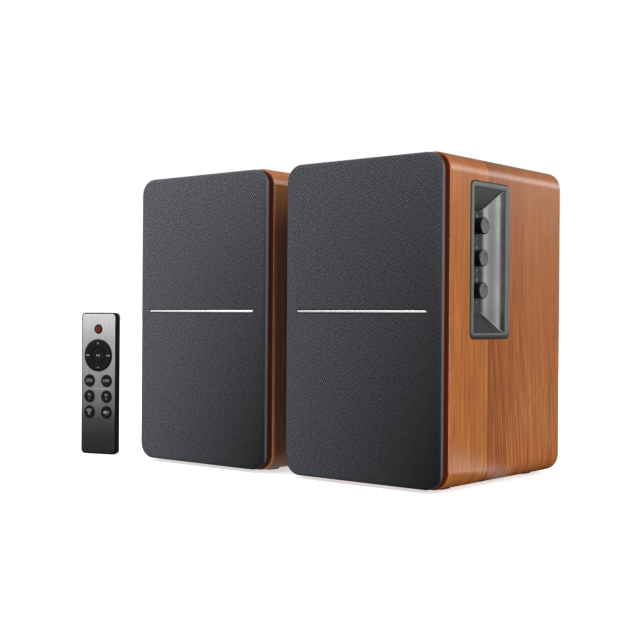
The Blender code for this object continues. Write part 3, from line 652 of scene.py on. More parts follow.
def pocket_finish(name):
    """Satin grey moulding of the pocket, with painted shade on its lower slope and painted light on its upper one,
    painted shade on the slopes next to the curved edges where they meet the sweep, and a thin painted highlight along
    those edges."""
    mat, nt, b = start(name)
    at = place_of(nt)
    split = add(nt, "ShaderNodeSeparateXYZ", {0: at}).outputs
    y, z = split[1], split[2]
    # how far a point lies past the curved edge where each end slope meets the sweep
    reach = add(nt, "ShaderNodeMapRange", {0: y, 1: 0.0575, 2: 0.0730, 3: 0.01522, 4: 0.00037}, interpolation_type="SMOOTHSTEP").outputs[0]
    above = calc(nt, "SUBTRACT", calc(nt, "ADD", z, reach), 0.212245)
    under = calc(nt, "SUBTRACT", calc(nt, "ADD", reach, 0.109155), z)
    past = calc(nt, "MAXIMUM", above, under)
    broad = noise(nt, at, 38.0, 3.0, 0.55)
    fine = noise(nt, at, 1500.0, 2.0, 0.6)
    tone = blend_colour(nt, broad, (0.049, 0.0495, 0.0505), (0.055, 0.0555, 0.0565))
    # painted shade on the lower slope, painted light on the upper one
    tone = blend_colour(nt, spread(nt, z, 0.82, 0.0, 0.1215, 0.1275), tone, (0.016, 0.016, 0.017))
    tone = blend_colour(nt, spread(nt, z, 0.0, 0.40, 0.1950, 0.2000), tone, (0.110, 0.111, 0.113))
    # painted shade on each end slope, deepest next to the curved edge
    painted_crease_shade = calc(nt, "MULTIPLY", spread(nt, past, 0.70, 0.0, 0.0004, 0.0060), calc(nt, "GREATER_THAN", past, 0.0))
    tone = blend_colour(nt, painted_crease_shade, tone, (0.010, 0.010, 0.011))
    # thin painted highlight along the curved edges, away from the flat floor
    painted_edge_highlight = calc(nt, "MULTIPLY", spread(nt, calc(nt, "ABSOLUTE", past), 0.75, 0.0, 0.00015, 0.0006), spread(nt, y, 0.0, 1.0, 0.0570, 0.0610))
    tone = blend_colour(nt, painted_edge_highlight, tone, (0.330, 0.332, 0.336))
    nt.links.new(tone, b.inputs["Base Color"])
    nt.links.new(spread(nt, broad, 0.25, 0.35, 0.3, 0.7), b.inputs["Roughness"])
    # less polish in the hollow where the sweep leaves the floor
    hollow = calc(nt, "MAXIMUM", spread(nt, y, 0.54, 0.20, 0.0565, 0.0578), spread(nt, y, 0.20, 0.54, 0.0580, 0.0620))
    nt.links.new(hollow, b.inputs["Specular IOR Level"])
    set_bump(nt, b, fine, 0.05, 0.0002)
    return mat


def rim_finish(name):
    """Satin grey moulding of the pocket's rim, with painted shade that darkens the bead towards its lower edge."""
    mat, nt, b = start(name)
    at = place_of(nt)
    z = add(nt, "ShaderNodeSeparateXYZ", {0: at}).outputs[2]
    fine = noise(nt, at, 1500.0, 2.0, 0.6)
    tone = blend_colour(nt, fine, (0.109, 0.111, 0.114), (0.123, 0.125, 0.128))
    tone = blend_colour(nt, spread(nt, z, 1.0, 0.0, 0.1066, 0.1103), tone, (0.012, 0.012, 0.013))
    nt.links.new(tone, b.inputs["Base Color"])
    nt.links.new(spread(nt, fine, 0.32, 0.42, 0.3, 0.7), b.inputs["Roughness"])
    set_bump(nt, b, fine, 0.06, 0.0002)
    return mat


def board_finish(name):
    """Green circuit board with a pattern of tracks and pads."""
    mat, nt, b = start(name)
    at = place_of(nt)
    tracks = add(nt, "ShaderNodeTexBrick", {"Vector": stretch(nt, at, (1, 1, 1), turn=(math.radians(90), 0, 0)), "Scale": 90.0, "Mortar Size": 0.06, "Color1": (0.012, 0.085, 0.035, 1), "Color2": (0.016, 0.11, 0.045, 1), "Mortar": (0.05, 0.20, 0.09, 1)})
    pads = noise(nt, at, 260.0, 1.0, 0.5)
    tone = blend_colour(nt, spread(nt, pads, 0.0, 1.0, 0.70, 0.73), tracks.outputs[0], (0.45, 0.44, 0.40))
    nt.links.new(tone, b.inputs["Base Color"])
    nt.links.new(spread(nt, pads, 0.35, 0.55, 0.3, 0.7), b.inputs["Roughness"])
    return mat


def cone_finish(name, colour, centre):
    """Coated paper: felted fibres and faint rings round the axis."""
    mat, nt, b = start(name)
    at = place_of(nt)
    fibres = noise(nt, at, 700.0, 4.0, 0.7)
    flecks = noise(nt, at, 160.0, 3.0, 0.6)
    away = stretch(nt, at, (1, 0, 1), (-centre[0], 0, -centre[1]))
    dist = add(nt, "ShaderNodeVectorMath", {0: away}, operation="LENGTH").outputs["Value"]
    rings = calc(nt, "SINE", calc(nt, "MULTIPLY", dist, 2 * math.pi / 0.0016))
    tone = blend_colour(nt, flecks, tuple(c * 0.65 for c in colour), tuple(c * 1.35 for c in colour))
    nt.links.new(tone, b.inputs["Base Color"])
    nt.links.new(spread(nt, fibres, 0.55, 0.72, 0.3, 0.7), b.inputs["Roughness"])
    set_bump(nt, b, calc(nt, "ADD", fibres, calc(nt, "MULTIPLY", rings, 0.18)), 0.25, 0.00025)
    return mat


def silk_finish(name):
    """Coated silk: a fine square weave under a tacky coat."""
    mat, nt, b = start(name)
    at = place_of(nt)
    split = add(nt, "ShaderNodeSeparateXYZ", {0: at})
    w = 2 * math.pi / 0.0006
    weave = calc(nt, "MULTIPLY", calc(nt, "SINE", calc(nt, "MULTIPLY", split.outputs[0], w)), calc(nt, "SINE", calc(nt, "MULTIPLY", split.outputs[2], w)))
    blots = noise(nt, at, 300.0, 2.0, 0.5)
    nt.links.new(blend_colour(nt, blots, (0.012, 0.012, 0.013), (0.030, 0.030, 0.032)), b.inputs["Base Color"])
    nt.links.new(spread(nt, blots, 0.38, 0.55, 0.3, 0.7), b.inputs["Roughness"])
    set_bump(nt, b, weave, 0.25, 0.0001)
    return mat


F = {
    "wood_right": wood_finish("veneer_right", (0.0495, 0.104, 0.132), 1.7, (0, 1, 2, 0)),
    # the left wrap's board order and shading put painted shade and painted light on the wall that faces the right
    # cabinet
    "wood_left": wood_finish("veneer_left", (0.0435, 0.098, 0.139), 8.3, (3, 0, 2, 1), True),
    "cut": moulded("wrap_cut_edge", (0.045, 0.018, 0.010), 0.7, 600.0, 0.1),
    # the two cloths are one twill lit differently: their gains and shade depths are painted brightness and painted
    # shade
    "cloth_right": cloth_finish("charcoal_twill_right", 0.86, 0.62, 0.80),
    "cloth_left": cloth_finish("charcoal_twill_left", 1.07, 0.56, 0.88),
    "vinyl": moulded("black_board", (0.014, 0.014, 0.015), 0.58, 1100.0, 0.35, vary=0.2),
    "plastic": moulded("black_moulding", (0.013, 0.013, 0.014), 0.46, 1400.0, 0.12, vary=0.15),
    "gloss": moulded("gloss_black_moulding", (0.006, 0.006, 0.007), 0.16, 500.0, 0.02, vary=0.2),
    "pod": pocket_finish("satin_grey_moulding"),
    "pod_rim": rim_finish("satin_grey_rim"),
    "knob_face": moulded("satin_grey_cap", (0.091, 0.093, 0.096), 0.40, 1500.0, 0.06, vary=0.05),
    # the two bars are one finish in two brightnesses: painted reflection, dimmer on the right grille's bar
    "bar_right": bar_finish("bright_bar_right", 0.50, 0.58, 0.74),
    "bar_left": bar_finish("bright_bar_left", 0.82, 0.90, 0.93),
    "panel": moulded("painted_panel", (0.022, 0.022, 0.024), 0.50, 1700.0, 0.30, vary=0.12),
    "basket": moulded("painted_basket", (0.016, 0.016, 0.017), 0.42, 1300.0, 0.12, vary=0.15),
    "rubber": moulded("black_rubber", (0.018, 0.018, 0.018), 0.62, 1500.0, 0.10, vary=0.2),
    "silk": silk_finish("coated_silk"),
    "screw": metal_finish("black_zinc", (0.10, 0.10, 0.105), 0.34, (40.0, 1.0, 40.0), 0.12),
    "plated": metal_finish("plated_shell", (0.78, 0.74, 0.64), 0.24, (1.0, 40.0, 1.0), 0.10),
    "pin": metal_finish("bright_pin", (0.72, 0.72, 0.70), 0.26, (1.0, 40.0, 1.0), 0.10),
    "red": moulded("red_moulding", (0.42, 0.018, 0.016), 0.30, 1200.0, 0.05, vary=0.10),
    "white": moulded("white_moulding", (0.72, 0.71, 0.68), 0.36, 1200.0, 0.05, vary=0.04),
    "lens": moulded("dark_red_lens", (0.035, 0.003, 0.003), 0.10, 500.0, 0.0, vary=0.2, coat=0.6),
    "ink": moulded("light_print", (0.62, 0.62, 0.62), 0.55, 1500.0, 0.0, vary=0.06),
    "case": moulded("gloss_black_case", (0.0045, 0.0045, 0.005), 0.26, 900.0, 0.03, vary=0.2, spec=0.14),
    "face": painted_reflection_face("silver_face_painted_reflection"),
    "edge": painted_reflection_face("silver_edge_painted_reflection"),
    "key": moulded("black_key", (0.0060, 0.0062, 0.0066), 0.50, 1500.0, 0.06, vary=0.2, spec=0.16),
    "legend": moulded("grey_print", (0.34, 0.34, 0.34), 0.60, 1500.0, 0.0, vary=0.06, spec=0.2),
    "power": moulded("dark_red_key", (0.200, 0.024, 0.009), 0.45, 1500.0, 0.06, vary=0.15, spec=0.2),
    "ferrite": moulded("ferrite", (0.045, 0.045, 0.048), 0.66, 500.0, 0.4, vary=0.25),
    "copper": moulded("laminated_core", (0.20, 0.12, 0.07), 0.45, 300.0, 0.3, metal=0.6, vary=0.3),
    "board": board_finish("circuit_board"),
}
for side, x in (("right", 0.0), ("left", 0.0)):
    F["cone_" + side] = cone_finish("coated_paper_" + side, (0.020, 0.020, 0.021), (0.0, WOOFER_Z * MM))


# --------------------------------------------------------------- small parts


def pan_head(r, h, slot=0.34):
    """Pan-head screw with a cross recess, on the plane y = 0, standing out towards -y."""
    head = lathe(
        rounded([(0, -h), (r * 0.62, -h), (r, -h * 0.35), (r, 0.25), (0, 0.25)], [0, r * 0.5, h * 0.25, 0, 0], 5), 32
    )
    a, b, d = r * slot * 0.5, r * 0.66, h * 0.75
    bars = [
        loft([[(x, y, z) for x, z in ((-w * k, -q * k), (w * k, -q * k), (w * k, q * k), (-w * k, q * k))] for y, k in ((-h - 0.2, 1.1), (-h + d, 0.55))])
        for w, q in ((a, b), (b, a))
    ]
    return carved(head, *bars)


HEAD = {}


def screws(name, places, r, h, y, body, base, facing=-1, turn=0.35, finish="screw"):
    """One piece for a set of like screws. places are (x, z)."""
    if (r, h) not in HEAD:
        HEAD[(r, h)] = pan_head(r, h)
    shape = Shape()
    for k, (x, z) in enumerate(places):
        m = Matrix.Rotation(turn + 1.9 * k, 3, "Y")
        if facing > 0:
            m = Matrix.Rotation(math.pi, 3, "Z") @ m
        shape.add(moved(HEAD[(r, h)], (x, y, z), m))
    return piece(name, shape, [F[finish]], body, base)


def round_places(r, n, cz, a0, cx=0.0):
    return [
        (cx + r * math.cos(math.radians(a0) + 2 * math.pi * k / n), cz + r * math.sin(math.radians(a0) + 2 * math.pi * k / n))
        for k in range(n)
    ]


# ------------------------------------------------------------------ cabinets


def wrap_outline(inset):
    hw, hh, r, k, n = CAB_W / 2 - inset, CAB_H / 2 - inset, CAB_R - inset, 0.5, 16
    zb, zt = CAB_ZC - hh, CAB_ZC + hh

    def arc(cx, cz, a0):
        return [
            (cx + r * math.cos(math.radians(a0 + 90 * i / n)), cz + r * math.sin(math.radians(a0 + 90 * i / n)))
            for i in range(n + 1)
        ]

    return (
        [(0, zb), (hw - r - k, zb)] + arc(hw - r, zb + r, -90)
        + [(hw, zb + r + k), (hw, zt - r - k)] + arc(hw - r, zt - r, 0)
        + [(hw - r - k, zt), (-hw + r + k, zt)] + arc(-hw + r, zt - r, 90)
        + [(-hw, zt - r - k), (-hw, zb + r + k)] + arc(-hw + r, zb + r, 180)
        + [(-hw + r + k, zb)]
    )


def cabinet(side):
    e, n = 1.0, 5
    line = wrap_outline(0)
    run = [0.0]
    for a, b in zip(line, line[1:] + line[:1]):
        run.append(run[-1] + math.dist(a, b))
    rings = [(WALL, 0.0, -WALL), (e + 0.4, 0.0, -e - 0.2)]
    for i in range(n + 1):
        a = math.pi / 2 * i / n
        rings.append((e * (1 - math.sin(a)), e * (1 - math.cos(a)), e * (1 - math.cos(a)) - 0.5 * e * (1 - math.sin(a))))
    rings += [(0, e + 0.5, e + 0.5), (0, CAB_D - e - 0.5, CAB_D - e - 0.5)]
    for i in range(n + 1):
        a = math.pi / 2 * (1 - i / n)
        rings.append((e * (1 - math.sin(a)), CAB_D - e * (1 - math.cos(a)), CAB_D - e * (1 - math.cos(a))))
    rings += [(e + 0.4, CAB_D, CAB_D + e), (WALL, CAB_D, CAB_D + WALL)]
    verts, faces, flat = [], [], []
    count = len(line)
    for inset, y, _ in rings:
        verts += [(x, y, z) for x, z in wrap_outline(inset)]
    for i in range(len(rings)):
        j = (i + 1) % len(rings)
        for k in range(count):
            q = (k + 1) % count
            faces.append((i * count + k, i * count + q, j * count + q, j * count + k))
            s0, s1 = run[k] * MM, run[k + 1] * MM
            t0, t1 = rings[i][2] * MM, rings[j][2] * MM
            flat.append(((s0, t0), (s1, t0), (s1, t1), (s0, t1)))
    shape = Shape().add((verts, faces), 0, flat)
    ob = piece(
        side + "_veneered_cabinet", shape, [F["wood_" + side], F["cut"]], side + "_speaker", side,
        [side + "_cabinet"], flat_name="grain",
    )
    if side == "right":
        tools = []
        for w, h, r, x0 in ((53.5, 111.6, 4.8, SIDE_X - 1.0), (47.0, 105.6, 3.4, SIDE_X - WALL - 3)):
            me = bpy.data.meshes.new("opening")
            bm = solid(prism(rrect(w, h, r, 52.05, 160.7, 10), x0, SIDE_X + 3, along_x))
            for f in bm.faces:
                f.material_index = 1
            for v in bm.verts:
                v.co *= MM
            bm.to_mesh(me)
            bm.free()
            tool = bpy.data.objects.new("opening", me)
            bpy.context.scene.collection.objects.link(tool)
            tool.matrix_world = BASE["right"]
            tools.append(tool)
            step = ob.modifiers.new("opening", "BOOLEAN")
            step.object, step.operation, step.solver = tool, "DIFFERENCE", "EXACT"
        bpy.context.view_layer.update()
        cutme = bpy.data.meshes.new_from_object(ob.evaluated_get(bpy.context.evaluated_depsgraph_get()))
        old = ob.data
        ob.modifiers.clear()
        ob.data = cutme
        cutme.name = ob.name
        bpy.data.meshes.remove(old)
        for t in tools:
            data = t.data
            bpy.data.objects.remove(t, do_unlink=True)
            bpy.data.meshes.remove(data)
        cutme.materials.clear()
        for m in (F["wood_right"], F["cut"]):
            cutme.materials.append(m)
        cutme.shade_smooth()
        cutme.set_sharp_from_angle(angle=math.radians(33))
    return ob


def boards(side):
    sp = side + "_speaker"

    def edge(i):
        return rrect(BOARD_W - 2 * i, BOARD_H - 2 * i, BOARD_R - min(i, 3.6), 0, CAB_ZC, 8, 0.4)

    front = slab(edge, BAFFLE_Y, BAFFLE_Y + BOARD_T, 0.7, 0)
    holes = [prism(circle(47.3, 0, WOOFER_Z, 96), 0, 20), prism(circle(24.0, 0, TWEETER_Z, 64), 0, 20)]
    for sx in (-1, 1):
        for sz in (-1, 1):
            holes.append(prism(circle(2.8, sx * 55.5, GRILLE_ZC + sz * 101.5, 24), 0, BAFFLE_Y + 7.6))
    if side == "right":
        holes.append(prism(circle(3.0, 46, 148, 24), 0, 20))
    piece(side + "_front_baffle", carved(front, *holes), [F["vinyl"]], sp, side, [side + "_baffle"])
    # rubber cups that the grille's pegs push into
    cups = Shape()
    for sx in (-1, 1):
        for sz in (-1, 1):
            cups.add(
                lathe(
                    rounded([(2.75, 3.6), (2.75, 2.7), (3.9, 2.72), (4.3, 3.3), (4.3, 3.6)], [0, 0.3, 0.5, 0.2, 0], 3),
                    32, along_y, (sx * 55.5, GRILLE_ZC + sz * 101.5),
                )
            )
    piece(side + "_peg_cups", cups, [F["rubber"]], sp, side)

    back = slab(edge, BACK, REAR_Y, 0.7, 0)
    holes = [prism(circle(18.0, 0, PORT_Z[side], 64), 140, 160)]
    if side == "right":
        holes.append(prism(rrect(92, 128, 3, 0, 98, 6), 140, 160))
    else:
        tx, tz = TERM[side]
        holes.append(prism(rrect(36.6, 30.6, 1.8, tx, tz, 6), 140, 160))
    piece(side + "_back_board", carved(back, *holes), [F["vinyl"]], sp, side, [side + "_rear_board"])


# ------------------------------------------------------------------- drivers


def woofer(side):
    sp, t0 = side + "_speaker", BAFFLE_Y

    def turned(profile, segs=112):
        return lathe([(r, t + t0) for r, t in profile], segs, along_y, (0.0, WOOFER_Z))

    rim = rounded(
        [(44.5, -1.2), (48.0, -1.2), (48.6, -2.95), (50.2, -2.95), (50.6, -2.55), (51.2, -2.55), (51.6, -2.95), (56.9, -2.95), (57.0, -0.3), (46.9, -0.3), (46.5, 9.0), (31.0, 33.5), (31.0, 36.5),
         (15.4, 36.5), (15.4, 34.0), (28.5, 34.0), (44.2, 8.6)],
        [0.2, 0.2, 0.5, 0.2, 0.15, 0.15, 0.2, 1.0, 0.05, 0.05, 2, 1, 0.3, 0.3, 0.3, 2, 2], 4, True,
    )
    piece(side + "_woofer_frame", turned(rim), [F["basket"]], sp, side, [side + "_woofer_basket"])
    screws(side + "_woofer_screws", round_places(53.9, 6, WOOFER_Z, 30), 2.0, 0.9, t0 - 2.9, sp, side)

    top = [(47.6, -1.95), (45.6, -1.95)]
    for i in range(21):
        a = math.pi * i / 20
        top.append((42.1 + 3.3 * math.cos(a), -1.95 - 2.5 * math.sin(a)))
    top += [(38.4, -1.9), (37.3, -1.45), (36.4, -0.75)]
    under = [(r, t + 0.5) for r, t in reversed(top)]
    roll = piece(side + "_roll_surround", turned(rounded(top + under, [0.1] + [0.25] + [0] * (2 * len(top) - 3) + [0.1], 3, True)), [F["rubber"]], sp, side)
    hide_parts(side + "_woofer_surround")
    # the rubber follows the cone at its inner lip and the basket at its outer lip
    roll.parent = None
    roll.matrix_world = BASE[side]
    if "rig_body" in roll:
        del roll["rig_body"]
    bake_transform(roll, sp, side + "_woofer_cone", (BASE[side] @ Vector((45.5 * MM, 0, WOOFER_Z * MM))), (BASE[side] @ Vector((38.5 * MM, 0, WOOFER_Z * MM))))
    mid = BASE[side] @ Vector((0, 0, WOOFER_Z * MM))
    share = roll.data.attributes["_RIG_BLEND"].data
    for v, w in zip(roll.data.vertices, share):
        r = math.hypot(v.co.x - mid.x, v.co.z - mid.z) / MM
        t = min(1.0, max(0.0, (45.5 - r) / (45.5 - 38.5)))
        w.value = t * t * (3 - 2 * t)

    face = []
    for i in range(15):  # shallow flare from the rim to the neck
        x = i / 14
        face.append((37.9 - 21.3 * x, -1.15 + 16.6 * (0.86 * x + 0.14 * x * x)))
    cap = [(16.6, 15.35), (16.2, 14.75)]
    for i in range(13):
        x = 1 - i / 12
        cap.append((15.6 * x, 8.5 + 6.0 * x * x))
    rear = [(0, 9.4), (8, 11.2), (13.3, 15.0), (13.3, 45.0), (13.9, 45.0), (14.4, 18.6), (36.2, 0.3), (37.9, -0.55)]
    piece(
        side + "_paper_cone", turned(face + cap + rear), [F["cone_" + side]], side + "_woofer_cone", side,
        [side + "_woofer_cone"], sharp=40,
    )


def tweeter(side):
    sp, t0 = side + "_speaker", BAFFLE_Y

    def turned(profile, segs=80):
        return lathe([(r, t + t0) for r, t in profile], segs, along_y, (0.0, TWEETER_Z))

    flare = [(11.75, 5.4), (11.75, 1.0)]
    for i in range(9):
        x = i / 8
        flare.append((12.0 + 10.5 * x, 0.75 - 2.6 * math.sin(math.pi / 2 * x)))
    body = rounded(flare + [(30.9, -2.5), (32.0, -1.6), (32.0, -0.3), (23.4, -0.3), (23.4, 26.0), (0.0, 26.0), (0.0, 5.4)], [0, 0.3] + [0] * 9 + [1.2, 0.6, 0.1, 0.2, 0.6, 0, 0], 4)
    piece(side + "_tweeter_plate", turned(body), [F["plastic"]], sp, side, [side + "_tweeter_body"])
    screws(side + "_tweeter_screws", round_places(27.6, 4, TWEETER_Z, 45), 1.9, 0.8, t0 - 2.25, sp, side)
    dome = []
    for i in range(13):
        x = i / 12
        dome.append((9.0 * math.sin(x * 1.02) / math.sin(1.02), -3.2 + 3.8 * (1 - math.cos(x * 1.02)) / (1 - math.cos(1.02))))
    for i in range(9):
        a = math.pi * (1 - i / 8)
        dome.append((10.1 + 0.95 * math.cos(a), 0.75 - 0.7 * math.sin(a)))
    piece(
        side + "_silk_dome", turned(dome + [(11.2, 1.2), (11.2, 3.4), (0, 3.4)]), [F["silk"]], side + "_tweeter_dome", side,
        [side + "_tweeter_dome"], sharp=45,
    )


# ------------------------------------------------------------------- grilles


def grille(side):
    body = side + "_grille"

    # drawn cloth: skirt, rolled edge, flat front with a slot that turns in round the bar
    def line(inset):
        return rrect(GRILLE_W - 2 * inset, GRILLE_H - 2 * inset, GRILLE_R - inset, 0, GRILLE_ZC, 14, 0.5)

    roll, n = 2.7, 7
    front, hem = -9.6, -3.5
    stations, length = [(roll + 0.8, front, 0.0)], 0.0
    for i in range(n + 1):
        a = math.pi / 2 * i / n
        stations.append((roll * (1 - math.sin(a)), front + roll * (1 - math.cos(a)), 0.8 + roll * a))
    stations.append((0.0, hem - 0.6, 0.8 + roll * math.pi / 2 + (hem - 0.6 - front - roll)))
    stations.append((0.25, hem, stations[-1][2] + 0.7))
    inner = line(stations[0][0])
    outer = line(0.0)
    count = len(inner)
    normal = []
    for (a, b), (c, d) in zip(inner, outer):
        v = Vector((c - a, d - b))
        normal.append(v.normalized())
    verts, faces, flat, places = [], [], [], []
    for inset, y, far in stations:
        for k, (x, z) in enumerate(line(inset)):
            verts.append((x, y, z))
            places.append(((inner[k][0] + normal[k].x * far) * MM, (inner[k][1] + normal[k].y * far) * MM))
    for i in range(len(stations) - 1):
        for k in range(count):
            q = (k + 1) % count
            f = (i * count + k, i * count + q, (i + 1) * count + q, (i + 1) * count + k)
            faces.append(f)
            flat.append(tuple(places[c] for c in f))
    slot_w, slot_h = BAR_L + 1.4, BAR_H + 1.4
    turn = [(0.45, front, 0.0), (0.15, front + 0.06, 0.3), (0.02, front + 0.3, 0.6), (0.0, front + 0.8, 1.1)]
    base = len(verts)
    slot_line = stadium(slot_w, slot_h, 0, BAR_Z, 14)
    many = len(slot_line)
    for grow, y, far in turn:
        for k, (x, z) in enumerate(stadium(slot_w + 2 * grow, slot_h + 2 * grow, 0, BAR_Z, 14)):
            verts.append((x, y, z))
            places.append((x * MM, z * MM))
    for i in range(len(turn) - 1):
        for k in range(many):
            q = (k + 1) % many
            f = (base + i * many + k, base + (i + 1) * many + k, base + (i + 1) * many + q, base + i * many + q)
            faces.append(f)
            flat.append(tuple(places[c] for c in f))
    bm = bmesh.new()
    ring = [bm.verts.new(verts[k]) for k in range(count)]
    hole = [bm.verts.new(verts[base + k]) for k in range(many)]
    index = {v: k for k, v in enumerate(ring)}
    index.update({v: base + k for k, v in enumerate(hole)})
    edges = [bm.edges.new((ring[k], ring[(k + 1) % count])) for k in range(count)]
    edges += [bm.edges.new((hole[k], hole[(k + 1) % many])) for k in range(many)]
    bmesh.ops.triangle_fill(bm, use_beauty=True, use_dissolve=False, edges=edges)
    for f in bm.faces:
        got = tuple(index[v] for v in f.verts)
        a, b, c = (Vector(verts[k]) for k in got[:3])
        if (b - a).cross(c - a).y > 0:
            got = got[::-1]
        faces.append(got)
        flat.append(tuple(places[k] for k in got))
    bm.free()
    cloth = piece(
        side + "_drawn_cloth", Shape().add((verts, faces), 0, flat), [F["cloth_" + side]], body, side,
        [side + "_grille_cloth"], sharp=50, flat_name="weave",
    )
    thick = cloth.modifiers.new("thickness", "SOLIDIFY")
    thick.thickness, thick.offset = 0.0005, -1.0

    # bright bar with rounded front edges
    def bar(i):
        return stadium(BAR_L - 2 * i, BAR_H - 2 * i, 0, BAR_Z, 10)

    rings = [(0.0, -6.5), (0.0, -9.0), (0.08, -9.3), (0.25, -9.5), (0.5, -9.6), (0.9, -9.6)]
    piece(
        side + "_bright_bar", loft([[along_y(u, v, y) for u, v in bar(i)] for i, y in rings]), [F["bar_" + side]], body, side,
        [side + "_trim_bar"], sharp=50,
    )
    frame["nodes"][side + "_grille_frame"].data.materials.clear()
    frame["nodes"][side + "_grille_frame"].data.materials.append(F["plastic"])


# ------------------------------------------------------------ control pocket


MOUTH_Y0, MOUTH_Y1, MOUTH_Z0, MOUTH_Z1, DEPTH = 30.2, 73.0, 109.4, 212.0, 13.0
KNOBS = {"bass_knob": (185.5, -1.1), "treble_knob": (162.6, -2.0), "volume_knob": (139.6, -2.0)}
KNOB_Y, KNOB_R = 46.9, 6.05


def control_pocket():
    # across the pocket: front wall, flat floor, S-shaped sweep up to the rear lip, as (y, depth)
    top = 0.6
    line = [(MOUTH_Y0, top), (MOUTH_Y0 + 0.8, DEPTH)]
    line = rounded(line + [(56.0, DEPTH)], [0, 1.8, 0], 7)
    line = line[:-1] + [(36.0, DEPTH), (44.0, DEPTH), (52.0, DEPTH)]
    for i in range(41):
        t = i / 40
        line.append((57.5 + 15.5 * t, DEPTH - 12.1 * t * t * (3 - 2 * t)))
    line.append((MOUTH_Y1 + 0.02, top))
    rows = []
    for y, d in line:
        reach = (d - top) * 16.2 / 13.2
        z0, z1 = MOUTH_Z0 - 0.245, MOUTH_Z1 + 0.245
        reach = max(reach, 0.004)
        r = min(1.1, 0.5 * (d - top) + 0.001)
        run = rounded([(z0, -top), (z0 + reach, -d), (z1 - reach, -d), (z1, -top)], [0, r, r, 0], 5)
        rows.append([(SIDE_X + x, y, z) for z, x in run])
    n = len(rows[0])
    verts = [p for row in rows for p in row]
    faces = [(i * n + k, (i + 1) * n + k, (i + 1) * n + k + 1, i * n + k + 1) for i in range(len(rows) - 1) for k in range(n - 1)]
    edge = [k for k in range(n)] + [i * n + n - 1 for i in range(1, len(rows))]
    edge += [(len(rows) - 1) * n + k for k in range(n - 2, -1, -1)] + [i * n for i in range(len(rows) - 2, 0, -1)]
    base = len(verts)
    for k in edge:
        verts.append((SIDE_X - 16.0, verts[k][1], verts[k][2]))
    for a in range(len(edge)):
        b = (a + 1) % len(edge)
        faces.append((edge[a], edge[b], base + b, base + a))
    faces.append(tuple(base + a for a in range(len(edge))))
    shape = Shape().add((verts, faces))

    def outer(i):
        return rrect(52.9 - 2 * i, 111.0 - 2 * i, 4.5 - i, 52.05, 160.7, 8, 0.4)

    def inner(i):
        return rrect(42.8 + 2 * i, 102.6 + 2 * i, 1.4 + i, 51.6, 160.7, 8, 0.4)

    face = SIDE_X + 0.7
    rings = [(outer(0.0), SIDE_X - 0.7), (outer(0.0), face - 0.9)]
    for i in range(5):
        a = math.pi / 2 * i / 4
        rings.append((outer(0.8 * (1 - math.cos(a))), face - 0.8 + 0.8 * math.sin(a)))
    rings.append((outer(1.2), face))
    rings.append((inner(1.5), face - 0.05))
    for i in range(5):
        a = math.pi / 2 * i / 4
        rings.append((inner(1.1 * (1 - math.sin(a))), face - 0.05 - 1.1 * (1 - math.cos(a))))
    rings.append((inner(0.0), SIDE_X - 1.6))
    rings.append((inner(1.0), SIDE_X - 1.6))
    rim = loft([[along_x(u, v, x) for u, v in o] for o, x in rings], closed=True)
    # the outer wall and rounding of the rim take the black finish: painted shade along the rim's outline
    around = len(outer(0.0))
    tone = [2 if k // around < 6 else 1 for k in range(len(rim[1]))]
    shape.add(rim, tone)
    piece("control_pocket", shape, [F["pod"], F["pod_rim"], F["plastic"]], "right_speaker", "right", ["control_pod"], sharp=38)

    # printed marks on the pocket floor: plus above each knob, minus below, and a dotted scale over the pointer's sweep
    marks = Shape()
    fx = SIDE_X - DEPTH

    def dash(y, z, w, h):
        marks.add(moved(prism(rrect(w, h, min(w, h) * 0.3, y, z, 3), fx - 0.05, fx + 0.05, along_x)))

    for z, _ in KNOBS.values():
        dash(KNOB_Y + 8.0, z + 8.2, 2.2, 0.55)
        dash(KNOB_Y + 8.0, z + 8.2, 0.55, 2.2)
        dash(KNOB_Y + 8.0, z - 8.2, 2.2, 0.55)
        for k in range(11):
            a = math.radians(28 * k - 102)
            marks.add(prism(circle(0.34, KNOB_Y + 7.6 * math.cos(a), z + 7.6 * math.sin(a), 12), fx - 0.05, fx + 0.04, along_x))
    piece("pocket_marks", marks, [F["legend"]], "right_speaker", "right")

    for name, (z, face) in KNOBS.items():
        foot = -DEPTH + 0.6
        side_line = rounded(
            [(5.35, face), (5.75, face - 0.05), (KNOB_R, face - 0.45), (KNOB_R, foot), (3.0, foot), (3.0, -20.4), (0, -20.4)],
            [0, 0.2, 0.4, 0.3, 0, 0, 0], 4,
        )
        cap_line = [(0, face - 0.16), (3.6, face - 0.12), (5.0, face - 0.02), (5.35, face)]
        shape = Shape()
        segs = 80
        geo = lathe([(r, t + SIDE_X) for r, t in cap_line + side_line[1:]], segs, along_x, (KNOB_Y, z))
        tone = []
        for f in geo[1]:
            far = max(math.hypot(geo[0][i][1] - KNOB_Y, geo[0][i][2] - z) for i in f)
            deep = min(geo[0][i][0] for i in f)
            tone.append(1 if far < 5.4 and deep > SIDE_X + face - 1 else 0)
        shape.add(geo, tone)
        a = math.radians(38)
        shape.add(
            lathe([(0, face + 0.02), (0.62, face + 0.02), (0.66, face - 0.3), (0, face - 0.3)], 20, lambda u, v, t: along_x(u, v, t + SIDE_X), (KNOB_Y + 4.35 * math.cos(a), z + 4.35 * math.sin(a))),
            0,
        )
        piece(name.replace("_knob", "_turning_knob"), shape, [F["gloss"], F["knob_face"]], name, "right", [name], sharp=30)


# ------------------------------------------------------------- rear fittings


